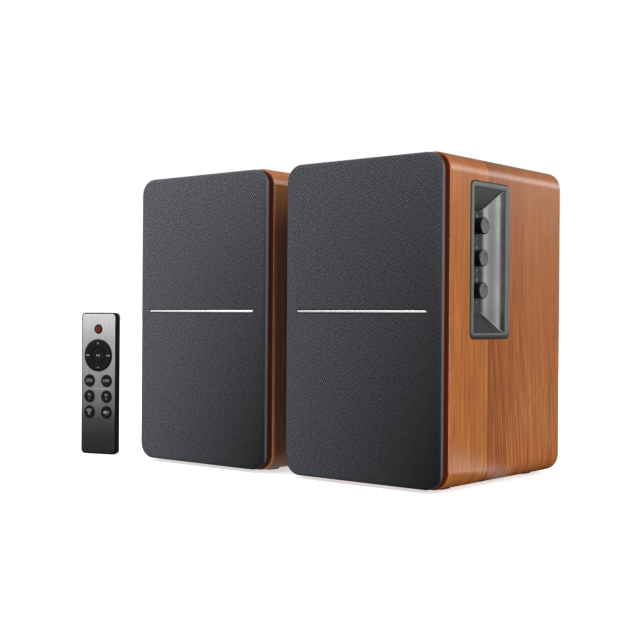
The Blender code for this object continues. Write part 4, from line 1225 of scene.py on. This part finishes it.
def port(side):
    pz = PORT_Z[side]
    line = rounded(
        [(15.6, 98.0), (17.6, 98.0), (17.6, BACK + GAP), (23.0, BACK + GAP), (23.0, BACK + 1.2), (21.9, BACK + 2.0), (20.6, BACK + 2.0)],
        [0.4, 0.4, 0.2, 0.1, 0.3, 0.5, 0.3], 4,
    )
    for i in range(15):  # flared mouth
        a = math.pi / 2 * i / 14
        line.append((20.4 - 4.8 * math.sin(a), BACK + 1.95 - 10.0 * (1 - math.cos(a))))
    line = [p for k, p in enumerate(line) if k == 0 or math.dist(p, line[k - 1]) > 0.02]
    piece(side + "_reflex_port", lathe(line, 96, along_y, (0, pz)), [F["plastic"]], side + "_speaker", side, [side + "_port_tube"], sharp=40)


def terminals(side):
    sp = side + "_speaker"
    tx, tz = TERM[side]

    def edge(i):
        return rrect(36.0 - 2 * i, 30.0 - 2 * i, 1.5 - min(i, 1.2), tx, tz, 6, 0.3)

    body = slab(edge, 157.0, 143.0, 0.6, 0)
    cuts = []
    for sx in (-1, 1):
        px = tx + sx * 8.4
        cuts.append(bevelled(block(px - 7.0, px + 7.0, 145.0, 159.0, tz - 8.6, tz + 11.0), 0.5, 2))
        cuts.append(lathe([(1.9, 147.0), (1.9, 156.3), (2.9, 157.4), (2.9, 159.0), (0, 159.0), (0, 147.0)], 28, along_y, (px, tz - 11.8)))
    piece(side + "_clip_block", carved(body, *cuts), [F["plastic"]], sp, side, [side + "_terminal_block"])
    ends = Shape()
    for sx in (-1, 1):  # sprung contact behind each wire hole
        ends.add(lathe(rounded([(0, 149.0), (1.2, 149.0), (1.2, 147.1), (0, 147.1)], 0.2, 2), 20, along_y, (tx + sx * 8.4, tz - 11.8)))
    piece(side + "_clip_contacts", ends, [F["plated"]], sp, side)
    signs = Shape()
    turn = Matrix.Rotation(math.pi, 3, "Z")
    for sx, text in ((-1, "+"), (1, "-")):
        signs.add(moved(lettering(text, 4.4), (tx + sx * 8.4, 157.0, tz + 13.0), turn))
    piece(side + "_clip_signs", signs, [F["ink"]], sp, side)
    for sx, colour in ((-1, "red"), (1, "black")):
        px = tx + sx * 8.4
        view = rounded(
            [(-1.5, 2.4), (3.5, 2.6), (10.5, -3.6), (10.5, -6.0), (3.2, -8.2), (0.6, -13.2), (-1.5, -13.2)],
            [0.4, 1.2, 1.0, 0.8, 1.5, 0.6, 0.4], 4, True,
        )
        geo = bevelled(prism(view, -6.5, 6.5, along_x), 0.45, 3, 50)
        ribs = []
        for k in range(4):  # grip ribs on the thumb slope
            y, z = 4.6 + 1.45 * k, 1.63 - 1.285 * k
            ribs.append(bevelled(moved(block(-4.6, 4.6, -0.32, 0.32, -0.22, 0.28), (0, y, z), Matrix.Rotation(math.radians(-41.5), 3, "X")), 0.14, 2))
        shape = Shape().add(moved(geo, (px, 153.0, tz + 7.0)))
        for r in ribs:
            shape.add(moved(r, (px, 153.0, tz + 7.0)))
        node = f"{side}_terminal_lever_{colour}"
        piece(f"{side}_clip_lever_{colour}", shape, [F["red"] if colour == "red" else F["gloss"]], node, side, [node])


def amplifier():
    sp = "right_speaker"
    y0, y1 = BACK + GAP, BACK + GAP + 1.6
    tx, tz = TERM["right"]

    def edge(i):
        return rrect(104.0 - 2 * i, 140.0 - 2 * i, 4.0 - i, 0, 98.0, 8, 0.4)

    plate = slab(edge, y1, y0, 0.5, 0)
    cuts = [
        prism(rrect(32.6, 32.6, 1.8, -24, 138, 6), 150, 160),
        prism(rrect(36.6, 30.6, 1.8, tx, tz, 6), 150, 160),
        prism(rrect(27.6, 17.6, 2.3, -22, 56, 6), 150, 160),
        prism(rrect(13.2, 20.8, 0.4, 24, 56, 3), 150, 160),
    ]
    piece("amplifier_panel", carved(plate, *cuts), [F["panel"]], sp, "right", ["amp_panel"])
    spots = [(sx * 46.5, z) for sx in (-1, 1) for z in (34.0, 98.0, 162.0)] + [(0, 34.0), (0, 162.0)]
    screws("panel_screws", spots, 3.0, 1.2, y1, sp, "right", facing=1)
    # cooling fins pressed out of the panel between the sockets
    fins = Shape()
    for k in range(9):
        z = 78.0 + 5.0 * k
        fins.add(bevelled(block(-38, 38, y1 - 0.5, y1 + 1.3, z - 0.9, z + 0.9), 0.6, 3))
    piece("panel_fins", fins, [F["panel"]], sp, "right")

    sock = slab(lambda i: rrect(32 - 2 * i, 32 - 2 * i, 1.5 - min(i, 1.2), -24, 138, 6, 0.3), 156.9, 152.6, 0.4, 0)
    piece("phono_plate", sock, [F["plastic"]], sp, "right", ["rca_sockets"])
    shells, seats = Shape(), {"red": Shape(), "white": Shape()}
    for sx in (-1, 1):
        for sz in (-1, 1):
            at = (-24 + sx * 7.6, 138 + sz * 7.6)
            shells.add(
                lathe(
                    rounded([(3.35, 157.4), (3.35, 164.6), (4.2, 164.6), (4.2, 158.2), (5.6, 158.2), (5.6, 156.8), (3.35, 156.8)], [0, 0.25, 0.3, 0.3, 0.3, 0, 0], 4, True),
                    40, along_y, at,
                )
            )
            seats["red" if sx < 0 else "white"].add(
                lathe(rounded([(1.7, 158.0), (1.7, 163.9), (3.3, 163.9), (3.3, 157.2), (1.7, 157.2)], [0, 0.2, 0.2, 0, 0], 3, True), 36, along_y, at)
            )
            seats["red" if sx < 0 else "white"].add(
                lathe(rounded([(5.9, 156.8), (5.9, 157.5), (6.9, 157.4), (6.9, 156.8)], [0, 0.2, 0.2, 0], 3, True), 40, along_y, at)
            )
    piece("phono_shells", shells, [F["plated"]], sp, "right")
    piece("phono_seats_red", seats["red"], [F["red"]], sp, "right")
    piece("phono_seats_white", seats["white"], [F["white"]], sp, "right")

    # two-pin mains inlet with a waisted cavity
    def waist(grow):
        pts, r, c = [], 5.0 + grow, 4.3
        for s, a0 in ((1, -122), (-1, 58)):
            for i in range(25):
                a = math.radians(a0 + 244 * i / 24) if s > 0 else math.radians(a0 + 244 * i / 24)
                pts.append((-22 + s * c + r * math.cos(a), 56 + r * math.sin(a)))
        return pts

    body = slab(lambda i: rrect(27 - 2 * i, 17 - 2 * i, 2 - min(i, 1.6), -22, 56, 6, 0.3), 157.4, 142.0, 0.6, 0)
    cavity = loft([[along_y(u, v, y) for u, v in waist(g)] for y, g in ((146.0, -0.5), (156.9, -0.5), (157.5, 0.0), (159.5, 0.0))])
    piece("mains_inlet_body", carved(body, cavity), [F["plastic"]], sp, "right", ["mains_inlet"])
    pins = Shape()
    for s in (-1, 1):
        pins.add(lathe(rounded([(0, 155.0), (1.2, 155.0), (1.2, 145.0), (0, 145.0)], [0, 0.7, 0, 0], 5), 28, along_y, (-22 + s * 4.3, 56)))
    piece("mains_pins", pins, [F["pin"]], sp, "right")

    bezel = carved(
        slab(lambda i: rrect(17.0 - 2 * i, 25.0 - 2 * i, 1.6 - min(i, 1.2), 24, 56, 6, 0.3), y1 + 1.0, y1 - 0.1, 0.5, 0),
        prism(rrect(13.0, 20.6, 0.4, 24, 56, 3), 150, 162),
    )
    piece("rocker_bezel", bezel, [F["plastic"]], sp, "right")
    view = [(4.9, -9.2), (4.55, -5.6), (4.1, -2.4), (3.9, 0.0), (4.1, 2.4), (4.55, 5.6), (4.9, 9.2), (0.6, 9.2), (-5.0, 6.0), (-5.0, -6.0), (0.6, -9.2)]
    view = rounded(view, [0.5, 0, 0, 0, 0, 0, 0.5, 0.3, 0.5, 0.5, 0.3], 3, True)
    tilt = Matrix.Rotation(math.radians(-8.0), 3, "X")
    shape = Shape().add(moved(bevelled(prism(view, -6.1, 6.1, along_x), 0.35, 3, 50), (24, 153.2, 56), tilt))
    turn = Matrix.Rotation(math.pi, 3, "Z")
    on = moved(block(-0.3, 0.3, -0.04, 0.06, -1.5, 1.5), (0, 4.5, 5.6), Matrix.Rotation(math.radians(8), 3, "X"))
    shape.add(moved(on, (24, 153.2, 56), tilt), 1)
    ring = lathe([(1.1, -0.04), (1.1, 0.06), (1.6, 0.06), (1.6, -0.04)], 32)
    off = moved(ring, (0, 4.5, -5.6), Matrix.Rotation(math.radians(-8), 3, "X"))
    shape.add(moved(off, (24, 153.2, 56), tilt), 1)
    piece("mains_seesaw", shape, [F["gloss"], F["ink"]], "mains_rocker", "right", ["mains_rocker"])

    # plain lettering by the sockets
    print_ = Shape()
    for text, x, z, s in (("R", -31.6, 157.4, 3.6), ("L", -16.4, 157.4, 3.6), ("1", -44.0, 145.6, 3.6), ("2", -44.0, 130.4, 3.6), ("ON", 24.0, 73.0, 3.4), ("OFF", 24.0, 39.6, 3.4)):
        print_.add(moved(lettering(text, s), (x, y1, z), turn))
    print_.add(bevelled(block(-2.6, 2.6, y1 - 0.05, y1 + 0.05, 119.6, 120.0), 0.02, 1))
    piece("panel_print", print_, [F["ink"]], sp, "right")

    piece(
        "infrared_eye",
        lathe(rounded([(0, 2.3), (1.9, 2.55), (2.8, 3.3), (2.8, 12.0), (0, 12.0)], [0, 1.2, 0.6, 0.1, 0], 5), 40, along_y, (46, 148)),
        [F["lens"]], sp, "right", ["ir_receiver"],
    )


# ------------------------------------------------------------------- handset

HS_W, HS_H, HS_T, HS_R = 35.0, 122.4, 8.4, 3.8
KEYS = {
    "remote_power_button": (0.0, 108.3, 3.85),
    "remote_centre_button": (0.0, 85.5, 6.7),
    "remote_on_button": (-8.6, 63.5, 5.2),
    "remote_off_button": (8.6, 63.5, 5.2),
    "remote_input_one_button": (-8.6, 49.9, 5.2),
    "remote_input_two_button": (8.6, 49.9, 5.2),
    "remote_wireless_button": (-8.6, 36.4, 5.2),
    "remote_mute_button": (8.6, 36.4, 5.2),
}
RING_Z, RING_R, RING_IN = 85.5, 13.8, 7.1


def flat_poly(points, y=-0.74, depth=0.05):
    return prism(points, y, y + depth)


def arc_band(cx, cz, r0, r1, a0, a1, n=24):
    pts = []
    for i in range(n + 1):
        a = math.radians(a0 + (a1 - a0) * i / n)
        pts.append((cx + r1 * math.cos(a), cz + r1 * math.sin(a)))
    for i in range(n, -1, -1):
        a = math.radians(a0 + (a1 - a0) * i / n)
        pts.append((cx + r0 * math.cos(a), cz + r0 * math.sin(a)))
    return pts


def handset():
    def edge(i):
        return rrect(HS_W - 2 * i, HS_H - 2 * i, HS_R - min(i, HS_R - 0.3), 0, HS_H / 2, 10, 0.4)

    rings = [(1.9, 6.0), (1.9, 1.6), (0.85, 1.55), (0.85, 0.80), (0.74, 0.65), (0.55, 0.60), (0.22, 0.74), (0.05, 0.95), (0.0, 1.2), (0.0, HS_T - 2.4)]
    for i in range(1, 8):
        a = math.pi / 2 * i / 7
        rings.append((2.3 * (1 - math.cos(a)), HS_T - 2.3 + 2.3 * math.sin(a)))
    rings.append((3.0, HS_T))
    case = loft([[along_y(u, v, y) for u, v in edge(i)] for i, y in rings])
    piece("handset_case", case, [F["case"]], "remote", "hand", ["remote_case"], sharp=40)
    # battery lid on the back, a thin raised plate with a ribbed thumb grip
    lid = Shape().add(slab(lambda i: rrect(22 - 2 * i, 44 - 2 * i, 2.0 - min(i, 1.6), 0, 32, 8, 0.3), HS_T + 0.30, HS_T - 0.6, 0.22, 0))
    for k in range(5):
        lid.add(prism(rrect(11, 0.8, 0.38, 0, 44.0 + 1.7 * k, 4), HS_T, HS_T + 0.55))
    piece("handset_battery_lid", lid, [F["plastic"]], "remote", "hand")

    # face sheet: polished chamfer round a flat, both with a painted reflection from top to foot, with a hole for each
    # key
    stations = [(1.05, 1.4), (1.05, 0.50), (1.12, 0.38), (1.44, 0.05), (1.56, 0.0), (2.0, 0.0)]
    plate = loft([[along_y(u, v, y) for u, v in edge(i)] for i, y in stations])
    holes = [prism(circle(RING_R + 0.35, 0, RING_Z, 96), -1, 2)]
    for name, (x, z, r) in KEYS.items():
        if name != "remote_centre_button":
            holes.append(prism(circle(r + 0.3, x, z, 48), -1, 2))
    geo = carved(plate, *holes)
    tone = []
    for f in geo[1]:
        ys = [geo[0][i][1] for i in f]
        tone.append(1 if max(ys) - min(ys) > 1e-4 and min(ys) < 0.3 and max(ys) < 0.45 else 0)
    piece("handset_face", Shape().add(geo, tone), [F["face"], F["edge"]], "remote", "hand", ["remote_face"])
    rims = Shape()
    for name, (x, z, r) in list(KEYS.items()) + [("ring", (0.0, RING_Z, RING_R + 0.05))]:
        if name == "remote_centre_button":
            continue
        rims.add(lathe(rounded([(r + 0.26, 0.3), (r + 0.26, -0.06), (r + 0.50, -0.01), (r + 0.50, 0.3)], [0, 0.10, 0.08, 0], 3, True), 64, along_y, (x, z)))
    piece("handset_key_rims", rims, [F["face"]], "remote", "hand")
    line = Shape().add(bevelled(block(-3.8, 12.6, -0.04, 0.02, 56.55, 56.85), 0.02, 1))
    piece("handset_divider", line, [F["ink"]], "remote", "hand")

    def key(name, legend, painted_top_light=0.18, top=-0.7, tones=(0,), finishes=("key", "legend")):
        x, z, r = KEYS[name]
        lip = 0.0 if name == "remote_centre_button" else 0.7
        head = [(0.0, top + painted_top_light)]
        for i in range(1, 9):  # slightly dished top
            q = i / 8
            head.append(((r - 0.75) * q, top + painted_top_light * (1 - q * q)))
        tail = [(r, -0.1), (r, 1.7), (r + lip, 1.7), (r + lip, 3.6), (0, 3.6)] if lip else [(r, -0.1), (r, 3.6), (0, 3.6)]
        geo = lathe(head + rounded([head[-1], (r - 0.2, top + 0.08)] + tail, [0, 0.35, 0.2] + [0] * (len(tail) - 1), 4)[1:], 64, along_y, (x, z))
        shape = Shape().add(geo)
        for g, tone in legend:
            shape.add(moved(g, (x, 0, z)), tone)
        piece(name.replace("_button", "_key"), shape, [F[f] for f in finishes], name, "hand", [name])

    y = -0.62
    p = Shape()
    power = [
        (lathe([(0, -0.73), (2.5, -0.70), (2.62, -0.5), (0, -0.4)], 48), 1),
        (flat_poly(arc_band(0, -0.1, 0.95, 1.3, 122, 418), -0.78, 0.06), 2),
        (flat_poly([(-0.17, 0.1), (0.17, 0.1), (0.17, 1.5), (-0.17, 1.5)], -0.78, 0.06), 2),
    ]
    key("remote_power_button", power, finishes=("key", "power", "key"))
    tri = lambda cx, w, h, s: flat_poly([(cx - s * w / 2, -h / 2), (cx + s * w / 2, 0), (cx - s * w / 2, h / 2)], -0.72, 0.12)
    bar = lambda cx, w, h, cz=0.0: flat_poly([(cx - w / 2, cz - h / 2), (cx + w / 2, cz - h / 2), (cx + w / 2, cz + h / 2), (cx - w / 2, cz + h / 2)], -0.72, 0.12)
    key("remote_centre_button", [(moved(g, (0, 0.12, 0)), 1) for g in (tri(-0.75, 1.7, 2.0, 1), bar(0.75, 0.42, 1.9), bar(1.5, 0.42, 1.9))])

    def word(text, size, cz=0.0):
        return (moved(lettering(text, size, 0.10), (0, -0.54, cz)), 1)

    key("remote_on_button", [word("ON", 4.1)])
    key("remote_off_button", [word("OFF", 3.7)])
    key("remote_input_one_button", [word("IN", 3.1, 1.5), word("1", 3.1, -1.6)])
    key("remote_input_two_button", [word("IN", 3.1, 1.5), word("2", 3.1, -1.6)])
    waves = [(flat_poly(circle(0.62, 0, -1.7, 20), -0.66, 0.12), 1)]
    for r in (1.7, 2.9, 4.1):
        waves.append((flat_poly(arc_band(0, -1.7, r - 0.27, r + 0.27, 48, 132, 14), -0.66, 0.12), 1))
    key("remote_wireless_button", waves)
    horn = [(-2.5, -0.8), (-1.4, -0.8), (0.1, -2.1), (0.1, 2.1), (-1.4, 0.8), (-2.5, 0.8)]
    cross = []
    for s in (-1, 1):
        m = Matrix.Rotation(math.radians(45 * s), 3, "Y")
        cross.append((moved(moved(bar(0, 3.0, 0.45), (0, 0.06, 0), m), (1.8, 0, 0)), 1))
    key("remote_mute_button", [(flat_poly(horn, -0.66, 0.12), 1)] + cross)

    ring_line = rounded(
        [(RING_IN, -0.45), (RING_IN + 0.45, -0.66), (RING_R - 1.0, -0.70), (RING_R, -0.1), (RING_R, 2.5), (RING_IN, 2.5)],
        [0.15, 0.4, 0.8, 0.3, 0, 0], 5, True,
    )
    shape = Shape().add(lathe(ring_line, 112, along_y, (0, RING_Z)))
    c = 0.5 * (RING_IN + RING_R)
    for g in (bar(0, 1.9, 0.5), bar(0, 0.5, 1.9)):
        shape.add(moved(g, (0, -0.02, RING_Z + c)), 1)
    shape.add(moved(bar(0, 1.9, 0.5), (0, -0.02, RING_Z - c)), 1)
    for s in (-1, 1):
        for g in (tri(-0.85 * s, 1.5, 1.7, s), tri(0.55 * s, 1.5, 1.7, s), bar(1.5 * s, 0.36, 1.7)):
            shape.add(moved(g, (s * c, -0.02, RING_Z)), 1)
    piece("handset_four_way_ring", shape, [F["key"], F["legend"]], "remote_ring_button", "hand", ["remote_ring_button"])


# ------------------------------------------------------------------ assembly

for side in ("right", "left"):
    cabinet(side)
    boards(side)
    woofer(side)
    tweeter(side)
    grille(side)
    port(side)
    terminals(side)
control_pocket()
amplifier()
handset()
screws("left_port_screws", round_places(20.9, 3, PORT_Z["left"], 90), 1.3, 0.5, BACK + 1.9, "left_speaker", "left", facing=1)
screws("right_port_screws", round_places(20.9, 3, PORT_Z["right"], 90), 1.3, 0.5, BACK + 1.9, "right_speaker", "right", facing=1)

kept = {
    "right_woofer_magnet": "ferrite", "left_woofer_magnet": "ferrite", "control_board": "board", "amp_board": "board",
    "remote_board": "board", "mains_transformer": "copper", "right_front_foot": "rubber", "right_rear_foot": "rubber",
    "left_front_foot": "rubber", "left_rear_foot": "rubber",
}
for node, finish in kept.items():
    mesh = frame["nodes"][node].data
    mesh.materials.clear()
    mesh.materials.append(F[finish])


# -------------------------------------------------------------- stage, light


def stage_plane(name, size, z):
    me = bpy.data.meshes.new(name)
    me.from_pydata([(-size, -size, z), (size, -size, z), (size, size, z), (-size, size, z)], [], [(0, 1, 2, 3)])
    ob = bpy.data.objects.new(name, me)
    bpy.context.scene.collection.objects.link(ob)
    mat, nt, b = start(name + "_finish")
    at = place_of(nt)
    nt.links.new(blend_colour(nt, noise(nt, at, 3.0, 2.0), (0.93, 0.93, 0.93), (0.95, 0.95, 0.95)), b.inputs["Base Color"])
    b.inputs["Roughness"].default_value = 0.85
    b.inputs["Specular IOR Level"].default_value = 0.15
    b.inputs["Emission Color"].default_value = (1.0, 1.0, 1.0, 1.0)
    b.inputs["Emission Strength"].default_value = 0.60
    me.materials.append(mat)
    return ob


floor = stage_plane("floor", 30.0, -0.0002)
floor.visible_diffuse = False
floor.visible_glossy = False


def lamp(name, at, to, size, watts, colour=(1.0, 1.0, 1.0)):
    data = bpy.data.lights.new(name, "AREA")
    data.shape = "RECTANGLE"
    data.size, data.size_y = size
    data.energy = watts
    data.color = colour
    ob = bpy.data.objects.new(name, data)
    bpy.context.scene.collection.objects.link(ob)
    ob.location = at
    ob.rotation_euler = (Vector(to) - Vector(at)).to_track_quat("-Z", "Y").to_euler()
    ob.visible_camera = False
    return ob


lamp("key_right", (1.295, -0.58, 0.25), (0.17, -0.02, 0.13), (0.42, 0.80), 12.0)
lamp("near_left", (-0.36, -0.58, 0.58), (-0.02, -0.08, 0.14), (0.35, 0.35), 2.5)
lamp("panel_left", (-0.66, -0.95, 0.22), (0.05, -0.08, 0.12), (0.62, 0.6), 1.6)
# light that the table throws back on the front foot of the right side: a warm lamp, and a soft pool seen in the gloss
foot_x, foot_y = (RIGHT_X + SIDE_X + 60.0) * MM, 0.031
foot_warm = lamp("foot_warm", (foot_x, foot_y, 0.002), (foot_x, foot_y, 1.0), (0.10, 0.11), 0.016)
foot_warm.visible_glossy = False
pool_me = bpy.data.meshes.new("table_glow")
pool_me.from_pydata([(-0.16, -0.10, 0), (0.20, -0.10, 0), (0.20, 0.10, 0), (-0.16, 0.10, 0)], [], [(0, 1, 2, 3)])
pool = bpy.data.objects.new("table_glow", pool_me)
bpy.context.scene.collection.objects.link(pool)
pool.location = (foot_x, foot_y, 0.001)
pool.rotation_euler = (0.0, 0.0, math.radians(50.4))
pool_mat = bpy.data.materials.new("table_glow")
pool_mat.use_nodes = True
pt = pool_mat.node_tree
pt.nodes.clear()
spot = add(pt, "ShaderNodeSeparateXYZ", {0: add(pt, "ShaderNodeTexCoord").outputs["Object"]}).outputs
reach = add(pt, "ShaderNodeMapRange", {0: spot[0], 1: 0.02, 2: 0.18, 3: 1.0, 4: 0.0}, interpolation_type="SMOOTHERSTEP").outputs[0]
width = add(pt, "ShaderNodeMapRange", {0: calc(pt, "ABSOLUTE", spot[1]), 1: 0.0, 2: 0.055, 3: 1.0, 4: 0.0}, interpolation_type="SMOOTHERSTEP").outputs[0]
near = add(pt, "ShaderNodeMapRange", {0: spot[0], 1: -0.080, 2: -0.050, 3: 0.0, 4: 1.0}, interpolation_type="SMOOTHSTEP").outputs[0]
glow = add(pt, "ShaderNodeEmission", {"Strength": calc(pt, "MULTIPLY", calc(pt, "MULTIPLY", calc(pt, "MULTIPLY", reach, near), width), 1.45)})
pt.links.new(glow.outputs[0], add(pt, "ShaderNodeOutputMaterial").inputs[0])
pool_me.materials.append(pool_mat)
pool.visible_camera = pool.visible_diffuse = pool.visible_shadow = pool.visible_transmission = False
# dark card in the gap between the cabinets, with a faint sheen of its own for the gloss to pick up
card_x, card_y = (RIGHT_X - SIDE_X - 0.4) * MM, FRONT_Y * MM
card_me = bpy.data.meshes.new("gap_card")
card_me.from_pydata([(card_x, card_y + 0.004, 0.006), (card_x, card_y + 0.004, 0.228), (card_x, card_y + 0.150, 0.228), (card_x, card_y + 0.150, 0.006)], [], [(0, 1, 2, 3)])
card = bpy.data.objects.new("gap_card", card_me)
bpy.context.scene.collection.objects.link(card)
card_mat = bpy.data.materials.new("gap_card")
card_mat.use_nodes = True
ct = card_mat.node_tree
ct.nodes.clear()
sheen = add(ct, "ShaderNodeEmission", {"Strength": calc(ct, "MULTIPLY", add(ct, "ShaderNodeLightPath").outputs["Is Glossy Ray"], 0.13)})
ct.links.new(sheen.outputs[0], add(ct, "ShaderNodeOutputMaterial").inputs[0])
card_me.materials.append(card_mat)
card.visible_camera = card.visible_shadow = card.visible_transmission = False
rear_fill = lamp("rear_fill", (-0.5, 1.5, 0.8), (0.0, 0.0, 0.12), (1.2, 0.9), 7.0)
sun_data = bpy.data.lights.new("overhead", "SUN")
sun_data.energy, sun_data.angle = 1.0, math.radians(70)
sun = bpy.data.objects.new("overhead", sun_data)
bpy.context.scene.collection.objects.link(sun)
sun.rotation_euler = (math.radians(6), math.radians(14), 0.0)
sun.visible_glossy = False
rear_fill.visible_glossy = False

# studio surround: white behind, dim in front so that the fronts keep their shade; what gloss picks up is dim along
# the horizon, with a bright bank above it on the right and a fainter one below
world = bpy.data.worlds.new("studio")
bpy.context.scene.world = world
world.use_nodes = True
wt = world.node_tree
way = add(wt, "ShaderNodeTexCoord").outputs["Generated"]
heading = add(wt, "ShaderNodeSeparateXYZ", {0: way}).outputs
rise = heading[2]
front = add(wt, "ShaderNodeVectorMath", {0: way, 1: (0.35, -0.94, 0.0)}, operation="DOT_PRODUCT").outputs["Value"]
soft = spread(wt, front, 0.50, 0.10, -0.2, 0.8)
soft = calc(wt, "ADD", soft, calc(wt, "MULTIPLY", calc(wt, "MAXIMUM", rise, 0.0), 0.22))
below = calc(wt, "LESS_THAN", rise, 0.0)
soft = calc(wt, "ADD", calc(wt, "MULTIPLY", soft, calc(wt, "SUBTRACT", 1.0, below)), calc(wt, "MULTIPLY", below, 0.46))
tilt = calc(wt, "ARCTAN2", rise, heading[0])
bands = ramp(
    wt, spread(wt, tilt, 0.0, 1.0, -math.pi, math.pi),
    [(0.25, 0.075), (0.33, 0.080), (0.375, 0.09), (0.43, 0.09), (0.452, 0.045), (0.475, 0.04), (0.51, 0.05), (0.533, 0.12),
     (0.55, 0.50), (0.57, 0.95), (0.589, 0.98), (0.617, 0.72), (0.65, 0.30), (0.678, 0.08), (0.76, 0.05)],
)
bands = calc(wt, "MULTIPLY", bands, 3.2)
bands = calc(wt, "MULTIPLY", bands, spread(wt, front, 1.0, 0.30, -0.2, 0.8))
path = add(wt, "ShaderNodeLightPath").outputs
gloss = path["Is Glossy Ray"]
level = calc(wt, "ADD", calc(wt, "MULTIPLY", soft, calc(wt, "SUBTRACT", 1.0, gloss)), calc(wt, "MULTIPLY", bands, gloss))
seen = path["Is Camera Ray"]
level = calc(wt, "ADD", calc(wt, "MULTIPLY", level, calc(wt, "SUBTRACT", 1.0, seen)), seen)
wt.nodes["Background"].inputs["Color"].default_value = (1.0, 1.0, 1.0, 1.0)
wt.links.new(level, wt.nodes["Background"].inputs["Strength"])

view = bpy.context.scene.view_settings
view.view_transform = "Standard"
view.look = "None"
view.exposure = 0.0
view.gamma = 1.0

# -------------------------------------------------------------------- camera

cam_data = bpy.data.cameras.new("camera")
cam = bpy.data.objects.new("camera", cam_data)
bpy.context.scene.collection.objects.link(cam)
az, pitch, roll = math.radians(39.58), math.radians(-0.07), math.radians(0.42)
right = Vector((math.cos(az), math.sin(az), 0.0))
ahead = Vector((-math.sin(az) * math.cos(pitch), math.cos(az) * math.cos(pitch), math.sin(pitch)))
up = right.cross(ahead)
r2 = right * math.cos(roll) + up * math.sin(roll)
u2 = up * math.cos(roll) - right * math.sin(roll)
at = Vector(((RIGHT_X + 508.96) * MM, (FRONT_Y - 668.15) * MM, 118.77 * MM))
cam.matrix_world = Matrix(
    ((r2.x, u2.x, -ahead.x, at.x), (r2.y, u2.y, -ahead.y, at.y), (r2.z, u2.z, -ahead.z, at.z), (0, 0, 0, 1))
)
cam_data.sensor_fit = "HORIZONTAL"
cam_data.sensor_width = 36.0
cam_data.lens = 1171.6 / 640.0 * 36.0
cam_data.clip_start, cam_data.clip_end = 0.02, 60.0
bpy.context.scene.camera = cam
